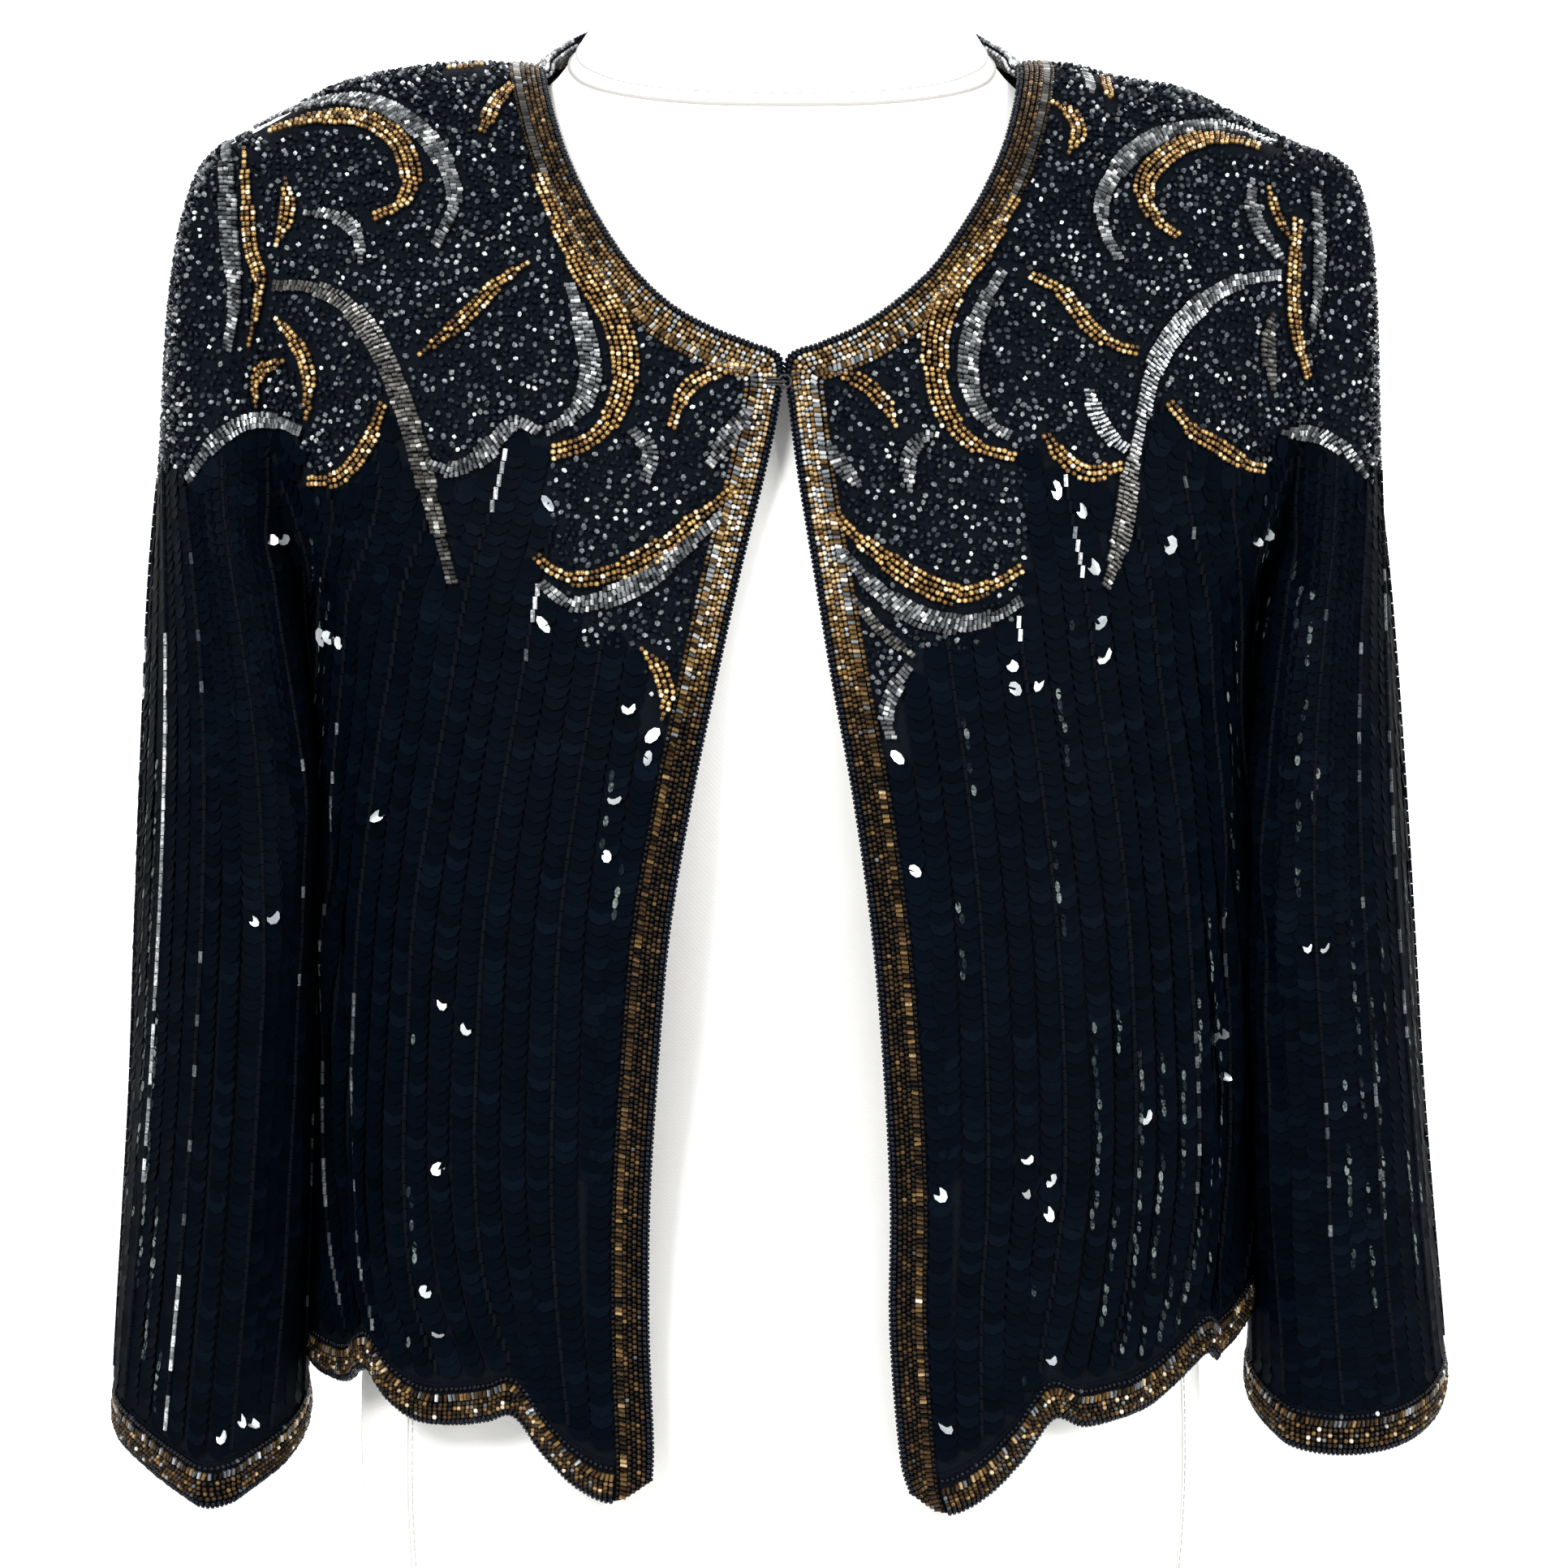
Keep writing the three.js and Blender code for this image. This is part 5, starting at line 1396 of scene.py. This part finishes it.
# Bands: the surface they lie on, its free edge and inner edge as grid lines, and the run.
BANDS = table(
    "name panel axis free inner start end",
    ("front_band_left", "front_left", "column", 0.0, 1.0, 0.0, 21.0),
    ("front_band_right", "front_right", "column", 0.0, 1.0, 0.0, 21.0),
    ("hem_band_left", "front_left", "row", 0.0, 1.0, 1.02, 14.0),
    ("hem_band_right", "front_right", "row", 0.0, 1.0, 1.02, 14.0),
    ("hem_band_back", "back", "row", 0.0, 1.0, 0.0, 24.0),
    ("neck_band_back", "back", "row", 21.0, 20.0, 6.0, 18.0),
    ("cuff_band_left", "sleeve_left", "row", 16.0, 15.0, 0.0, 26.0),
    ("cuff_band_right", "sleeve_right", "row", 16.0, 15.0, 0.0, 26.0),
)


def band_point(band, share, run):
    """Points and normals of a band, at a share of its breadth and places along it."""
    surface = SURFACES[band["panel"]]

    def place(line):
        line = np.broadcast_to(line, np.shape(run))
        return (run, line) if band["axis"] == "column" else (line, run)

    here = place(mix(band["free"], band["inner"], max(share, 0)))
    point, normal = surface.at(*here), surface.normal(*here)
    if share < 0:
        inside = surface.at(*place(mix(band["free"], band["inner"], EDGE_WAY)))
        point = point + unit(point - inside) * -share * BAND_WIDTH
    return point, normal


def bead_row(band, line, along):
    """Places, normals and run of the beads of one row."""
    path, _ = band_point(band, line["share"], along)
    run = np.interp(spaced(path, line["pitch"]), np.arange(len(along)), along)
    places, normals = band_point(band, line["share"], run)
    return places, normals, unit(np.gradient(places, axis=0))


def sew_row(part, line, these, places, axis, normals, material_index, tint):
    """The chosen beads of a row, in one material."""
    part.scatter(
        line["bead"], places[these], axis[these], normals[these], line["size"], material_index,
        tint[these], line["bead"] is ROUND,
    )


for band in BANDS:
    along = np.linspace(band["start"], band["end"], BAND_STEPS)
    on_front = band["name"].startswith(("front", "neck"))
    on_neck = band["name"] == "neck_band_back"
    part = Part()
    shares = np.linspace(0.0, 1.0, STRIP_LINES)
    layers = [band_point(band, s, along[::2]) for s in shares]
    lifts = [STRIP_LIFT + STRIP_LIFT * math.sin(math.pi * s) for s in shares]
    outer = np.array([point + normal * lift for lift, (point, normal) in zip(lifts, layers)])
    index = np.arange(outer.shape[0] * outer.shape[1]).reshape(outer.shape[:2])
    part.add(outer.reshape(-1, 3), quads_of(index), STRIP, 0.3)
    for line in EDGING:
        places, normals, tangents = bead_row(band, line, along)
        n = len(places)
        if on_front:
            lift, silver, swap = (
                straight(EDGE_LIGHT, "z", key, places[:, 2]) for key in ("lift", "silver", "swap")
            )
        else:
            lift, silver = rng.choice(HEM_LIFTS, n, p=HEM_SHARES), HEM_SILVER
            swap = HEM_SWAP if band["name"].startswith("hem") else CUFF_SWAP
        tint = rng.normal(*line["tints"], n)
        kind = np.full(n, line["material"])
        if line["material"] == BRONZE:
            tint += lift
            kind[rng.random(n) < silver] = SILVER
        if line["material"] == SILVER:
            tint += lift / 2
            other = np.where(on_front & (places[:, 2] > GREY_ABOVE), GREY, BRONZE)
            kind = np.where(rng.random(n) < swap, other, kind)
        if line["share"] > HEM_LAST and not on_front:
            kind[:] = BLACK
        point = (abs(places[:, 0]) > NECK_POINT) & (line["share"] < POINT_ROWS) & on_neck
        kind[point] = SILVER
        tint[point] = rng.uniform(*POINT_TINTS, point.sum())
        tint = np.clip(tint, 0.0, 1.0)
        laid = np.cross(normals, tangents) + BUGLE_SLANT * tangents
        axis = (laid if line["bead"] is BUGLE else tangents) + rng.normal(0, ROW_JITTER[0], (n, 3))
        lifted = places + normals * (line["lift"] + rng.normal(0, ROW_JITTER[1], (n, 1)))
        for k in np.unique(kind):
            sew_row(part, line, kind == k, lifted, axis, normals, int(k), tint)
    for line in NECK_FACING if on_neck else ():
        places, normals, tangents = bead_row(band, line, along)
        inside = places - normals * (CLOTH + line["lift"])
        tint = np.clip(rng.normal(*line["tints"], len(places)), 0.0, 1.0)
        axis = np.cross(normals, tangents) if line["bead"] is BUGLE else tangents
        point = (abs(places[:, 0]) > NECK_POINT) & (line["share"] < POINT_FACING)
        tint[point] = rng.uniform(*POINT_TINTS, point.sum())
        for these, k in ((point, SILVER), (~point, line["material"])):
            sew_row(part, line, these, inside, axis, -normals, k, tint)
    piece = part.build("edging_" + band["name"], EDGING_MATERIALS, "bands")
    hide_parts(band["name"])
    decorations[band["panel"]].append(piece)


# ---------- Dress form ----------
ASKEW = (0.31, 0.59, 0.74)  # a direction that no tube here starts along


def tube(part, path, radius, sides, tint, closed=False):
    """A round cord along a path of points, with closed ends."""
    path = np.asarray(path, float)
    steps = np.roll(path, -1, axis=0) - np.roll(path, 1, axis=0) if closed else np.gradient(path, axis=0)
    tangents = unit(steps)
    axis = np.zeros_like(path)
    normal = unit(np.cross(tangents[0], ASKEW))
    for i, tangent in enumerate(tangents):
        normal = unit(normal - tangent * (normal @ tangent))
        axis[i] = normal
    other = np.cross(tangents, axis)
    turn = turns_of(sides)[None, :, None]
    radius = np.broadcast_to(radius, len(path))[:, None, None]
    points = path[:, None] + radius * (np.cos(turn) * axis[:, None] + np.sin(turn) * other[:, None])
    index = np.arange(len(path) * sides).reshape(len(path), sides)
    rows = np.concatenate([index, index[:1]]) if closed else index
    rows = np.concatenate([rows, rows[:, :1]], axis=1)
    faces = [quads_of(rows)] if closed else [quads_of(rows), np.stack([index[0][::-1], index[-1]])]
    part.add(points.reshape(-1, 3), faces, 0, tint)


FORM_SIDES, FORM_FINE = 36, 4  # columns of the form's grid, and mesh steps to each
FORM_FRONT = FORM_SIDES / 2


def form_grid():
    grid = []
    for row in FORM:
        line = []
        for i in range(FORM_SIDES):
            angle = i / FORM_SIDES * 2 * math.pi - math.pi
            power = 2 / row["square"]
            depth = row["front"] if math.cos(angle) > 0 else row["back"]
            x = signed_power(math.sin(angle), power) * row["half"]
            line.append([x, -signed_power(math.cos(angle), power) * depth, row["z"]])
        grid.append(line)
    return np.array(grid, float)


# Faint pulls in the stretched cover, on the form's own grid.
FORM_CREASES = table(
    CREASE,
    (5.75, 17.9, 5.85, 19.6, 0.16, 0.9), (3.9, 16.2, 4.2, 17.9, 0.18, 1.0),
    (4.2, 17.9, 4.6, 19.7, 0.16, 0.9), (5.2, 19.0, 5.35, 20.2, 0.14, 0.7),
    (6.9, 18.6, 7.1, 19.8, 0.14, 0.6), (4.9, 15.8, 5.0, 17.0, 0.14, 0.6),
    (5.9, 0.8, 5.7, 2.6, 0.16, 0.8), (4.0, 33.4, 4.3, 35.2, 0.18, 0.9),
    (17.0, 16.8, 17.2, 18.4, 0.2, 0.5),
)
form_surface = Surface(form_grid(), 1, True, FORM_CREASES)
form_points, form_quads = form_surface.mesh(FORM_FINE)
form = Part()
form.add(form_points, form_quads)
# Both ends are closed by a fan round a point in their middle.
around = FORM_SIDES * FORM_FINE
i = np.arange(around)
fan = np.stack([i, np.roll(i, -1), np.full(around, around)], -1)
caps = (form_points[:around], FORM[0]["z"], fan[:, ::-1]), (form_points[-around:], FORM[-1]["z"], fan)
for rim, z, faces in caps:
    form.add(np.concatenate([rim, [[0.0, 0.0, z]]]), faces)
cover = form.build("dress_form_cover", [JERSEY], "jersey")
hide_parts("dress_form")


def on_form(z, column, lift):
    """Points at a height over the form's cover, and the normals there."""
    heights = [row["z"] for row in FORM]
    row = np.interp(z, heights, np.arange(len(heights)))
    normals = form_surface.normal(row, column)
    return form_surface.at(row, column) + normals * lift, normals


# Seams of the cover: a narrow welt with stitches beside it, up the front, sides and back.
SEAMS = table(
    "column z0 z1 bend",
    (12.1, 3, 600, 0.9), (24.6, 3, 600, -0.9), (9.0, 3, 590, 0.0), (27.0, 3, 590, 0.0),
    (0.0, 3, 742, 0.0),
)
SEAM_POINTS, SEAM_BEND = 110, (170, 330)  # a seam's points, and where and over what rise it bends
WELT_LIFT, WELT_RADIUS, WELT_TINT = 0.05, 0.45, 0.75
STITCH_PITCH, STITCH_SIZE, STITCH_TINT = 3.2, (2.1, 0.5, 0.4), 0.4
STITCH_ASIDE, STITCH_LIFT = 0.13, 0.12  # the stitches' columns from the welt, and height
NECK_Z, NECK_DIP, NECK_RADIUS, NECK_TINT, NECK_STITCHES = 668, 20.5, 0.7, 0.1, (4.5, 0.15)
seams = Part()
for seam in SEAMS:
    z = np.linspace(seam["z0"], seam["z1"], SEAM_POINTS)
    bend = np.sin(np.pi * np.clip((z - SEAM_BEND[0]) / SEAM_BEND[1], 0, 1))
    column = seam["column"] + seam["bend"] * bend
    welt, outward = on_form(z, column, WELT_LIFT)
    tube(seams, welt, WELT_RADIUS, 5, WELT_TINT)
    beside, _ = on_form(z, column + STITCH_ASIDE, STITCH_LIFT)
    where = spaced(beside, STITCH_PITCH)
    places, normals = read_path(beside, where), read_path(outward, where)
    seams.scatter(BUGLE, places, np.gradient(places, axis=0), normals, STITCH_SIZE, 0, STITCH_TINT)
# The neck cap meets the body on a curve that dips in front.
turns = np.linspace(0, FORM_SIDES, FORM_SIDES * FORM_FINE + 1)[:-1]
neck_z = NECK_Z - NECK_DIP * np.cos((turns - FORM_FRONT) / FORM_SIDES * 2 * np.pi)
tube(seams, on_form(neck_z, turns, 0)[0], NECK_RADIUS, 8, NECK_TINT, closed=True)
stitches, outward = on_form(neck_z + NECK_STITCHES[0], turns, NECK_STITCHES[1])
ahead = np.roll(stitches, -1, axis=0) - stitches
seams.scatter(BUGLE, stitches, ahead, outward, STITCH_SIZE, 0, STITCH_TINT)
seams.build("dress_form_seams", [STITCH, JERSEY], "jersey")

# ---------- A pass over the sheets that only reads their names ---
for row in SHEETS:
    name = row["name"]

# ---------- Hook and eye ----------
# Feet of the eye, out and up from its middle, in radii.
EYE_FEET = ((1.0, 0.95), (1.9, 1.3), (2.2, 0.85))
EYE_POINTS, RIPPLE, RIPPLES = 32, 0.06, 10  # the covered wire of the eye is a little uneven
WIRE_TINT, HOOK_SWELL, HOOK_WAVE = 0.4, 0.12, 1.7
SHANK_POINTS, SHANK_IN, SHANK_ASIDE, SHANK_WIRE, SHANK_TINT = 22, 0.5, 1.1, 0.8, 0.5
eye = Part()
turn = turns_of(EYE_POINTS)
clasp = np.array([CLASP_X, CLASP_Y, CLASP_Z])
loop = np.stack([np.cos(turn), np.zeros(EYE_POINTS), np.sin(turn)], -1) * EYE_RADIUS + clasp
tube(eye, loop, WIRE + RIPPLE * np.sin(turn * RIPPLES), 10, WIRE_TINT, closed=True)
for up in (-1, 1):
    foot = [clasp + (EYE_RADIUS * a, 0.1, up * EYE_RADIUS * b) for a, b in EYE_FEET]
    tube(eye, curve_through(foot), WIRE, 8, WIRE_TINT)
eye_piece = eye.build("neck_eye_wire", [WIRE_BLACK], "wire")
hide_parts("neck_eye")

clearance = 3 * WIRE + SEAM
# The hook's course, in eye radii across and in clearances out.
HOOK = table("across out", (-3.1, 0.0), (-1.7, 0.9), (-0.7, 1.0), (0.1, 0.75), (0.15, 0.0))
hook = Part()
course = [(CLASP_X + p["across"] * EYE_RADIUS, CLASP_Y - p["out"] * clearance, CLASP_Z) for p in HOOK]
course = curve_through(course, 10)
swell = 1.0 + HOOK_SWELL * np.sin(np.arange(len(course)) * HOOK_WAVE)
tube(hook, course, WIRE * swell, 10, WIRE_TINT)
for up in (-1, 1):
    shank = [(x, y + SHANK_IN, CLASP_Z + up * SHANK_ASIDE) for x, y, _ in course[:SHANK_POINTS:3]]
    tube(hook, curve_through(shank, 3), WIRE * SHANK_WIRE, 8, SHANK_TINT)
hook_piece = hook.build("neck_hook_wire", [WIRE_BLACK], "wire")
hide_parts("neck_hook")

# ---------- Camera, floor and light ----------
AZIMUTH, ELEVATION = math.radians(-2.5), math.radians(6.5)
DISTANCE, TARGET_Z = 1.6, 0.377
PICTURE = 1932  # pixels
FOCAL, SHIFT = 4848 / PICTURE, 3 / PICTURE  # over the picture's width
SENSOR = 36.0
camera = bpy.data.objects.new("camera", bpy.data.cameras.new("camera"))
bpy.context.scene.collection.objects.link(camera)
away = Vector(
    (
        math.sin(AZIMUTH) * math.cos(ELEVATION),
        -math.cos(AZIMUTH) * math.cos(ELEVATION),
        math.sin(ELEVATION),
    )
)
camera.location = away * DISTANCE + Vector((0, 0, TARGET_Z))
camera.rotation_euler = away.to_track_quat("Z", "Y").to_euler()
camera.data.sensor_width = SENSOR
camera.data.lens = SENSOR * FOCAL
camera.data.shift_x = SHIFT
camera.data.clip_end = 50
bpy.context.scene.camera = camera

# A pale floor that runs up into a backdrop on a wide curve.
FLOOR_NEAR, FLOOR_DEPTH, FLOOR_HALF, FLOOR_TOP, SWEEP = -3.0, 3.2, 4.0, 4.5, 1.2
profile = [(FLOOR_NEAR, 0.0)]
for a in np.linspace(0, math.pi / 2, 16):
    profile.append((FLOOR_DEPTH - SWEEP + SWEEP * math.sin(a), SWEEP - SWEEP * math.cos(a)))
profile.append((FLOOR_DEPTH, FLOOR_TOP))
floor_points = [(x, y, z) for y, z in profile for x in (-FLOOR_HALF, FLOOR_HALF)]
floor = bpy.data.meshes.new("floor")
strips = [(k, k + 1, k + 3, k + 2) for k in range(0, len(floor_points) - 2, 2)]
floor.from_pydata(floor_points, [], strips)
for polygon in floor.polygons:
    polygon.use_smooth = True
PAPER = material(
    "floor_paper", [(0.0, (0.86, 0.86, 0.855)), (1.0, (0.9, 0.9, 0.895))], (0.8, 0.9), noise=8.0
)
floor.materials.append(PAPER)
floor_object = bpy.data.objects.new("floor", floor)
bpy.context.scene.collection.objects.link(floor_object)

world = bpy.data.worlds.new("studio")
world.use_nodes = True
WORLD_STRENGTH = 0.5
background = world.node_tree.nodes["Background"]
background.inputs["Color"].default_value = (1, 1, 1, 1)
background.inputs["Strength"].default_value = WORLD_STRENGTH
bpy.context.scene.world = world
bpy.context.scene.view_settings.view_transform = "Standard"

# Lamps: where they stand, what they look at, breadth, height and power.
LAMPS = table(
    "name place aim width height power",
    ("key", (-1.3, -2.2, 2.1), (0, 0, 0.45), 0.9, 0.9, 75),
    ("fill", (1.9, -1.9, 1.2), (0, 0, 0.4), 1.2, 1.4, 42),
    ("rim", (1.2, 1.6, 2.2), (0, 0, 0.5), 0.8, 0.8, 30),
    ("backdrop", (0.0, 1.3, 2.6), (0, 3.1, 1.0), 2.5, 1.0, 95),
    ("spark", (-0.9, -1.6, 1.6), (0, 0, 0.45), 0.12, 0.12, 9),
    ("spark_low", (0.9, -1.8, 0.9), (0, 0, 0.45), 0.14, 0.14, 7),
)
for lamp in LAMPS:
    light = bpy.data.lights.new(lamp["name"], "AREA")
    light.shape = "RECTANGLE"
    light.size, light.size_y, light.energy = lamp["width"], lamp["height"], lamp["power"]
    holder = bpy.data.objects.new(lamp["name"], light)
    holder.location = lamp["place"]
    gaze = Vector(lamp["place"]) - Vector(lamp["aim"])
    holder.rotation_euler = gaze.to_track_quat("Z", "Y").to_euler()
    bpy.context.scene.collection.objects.link(holder)
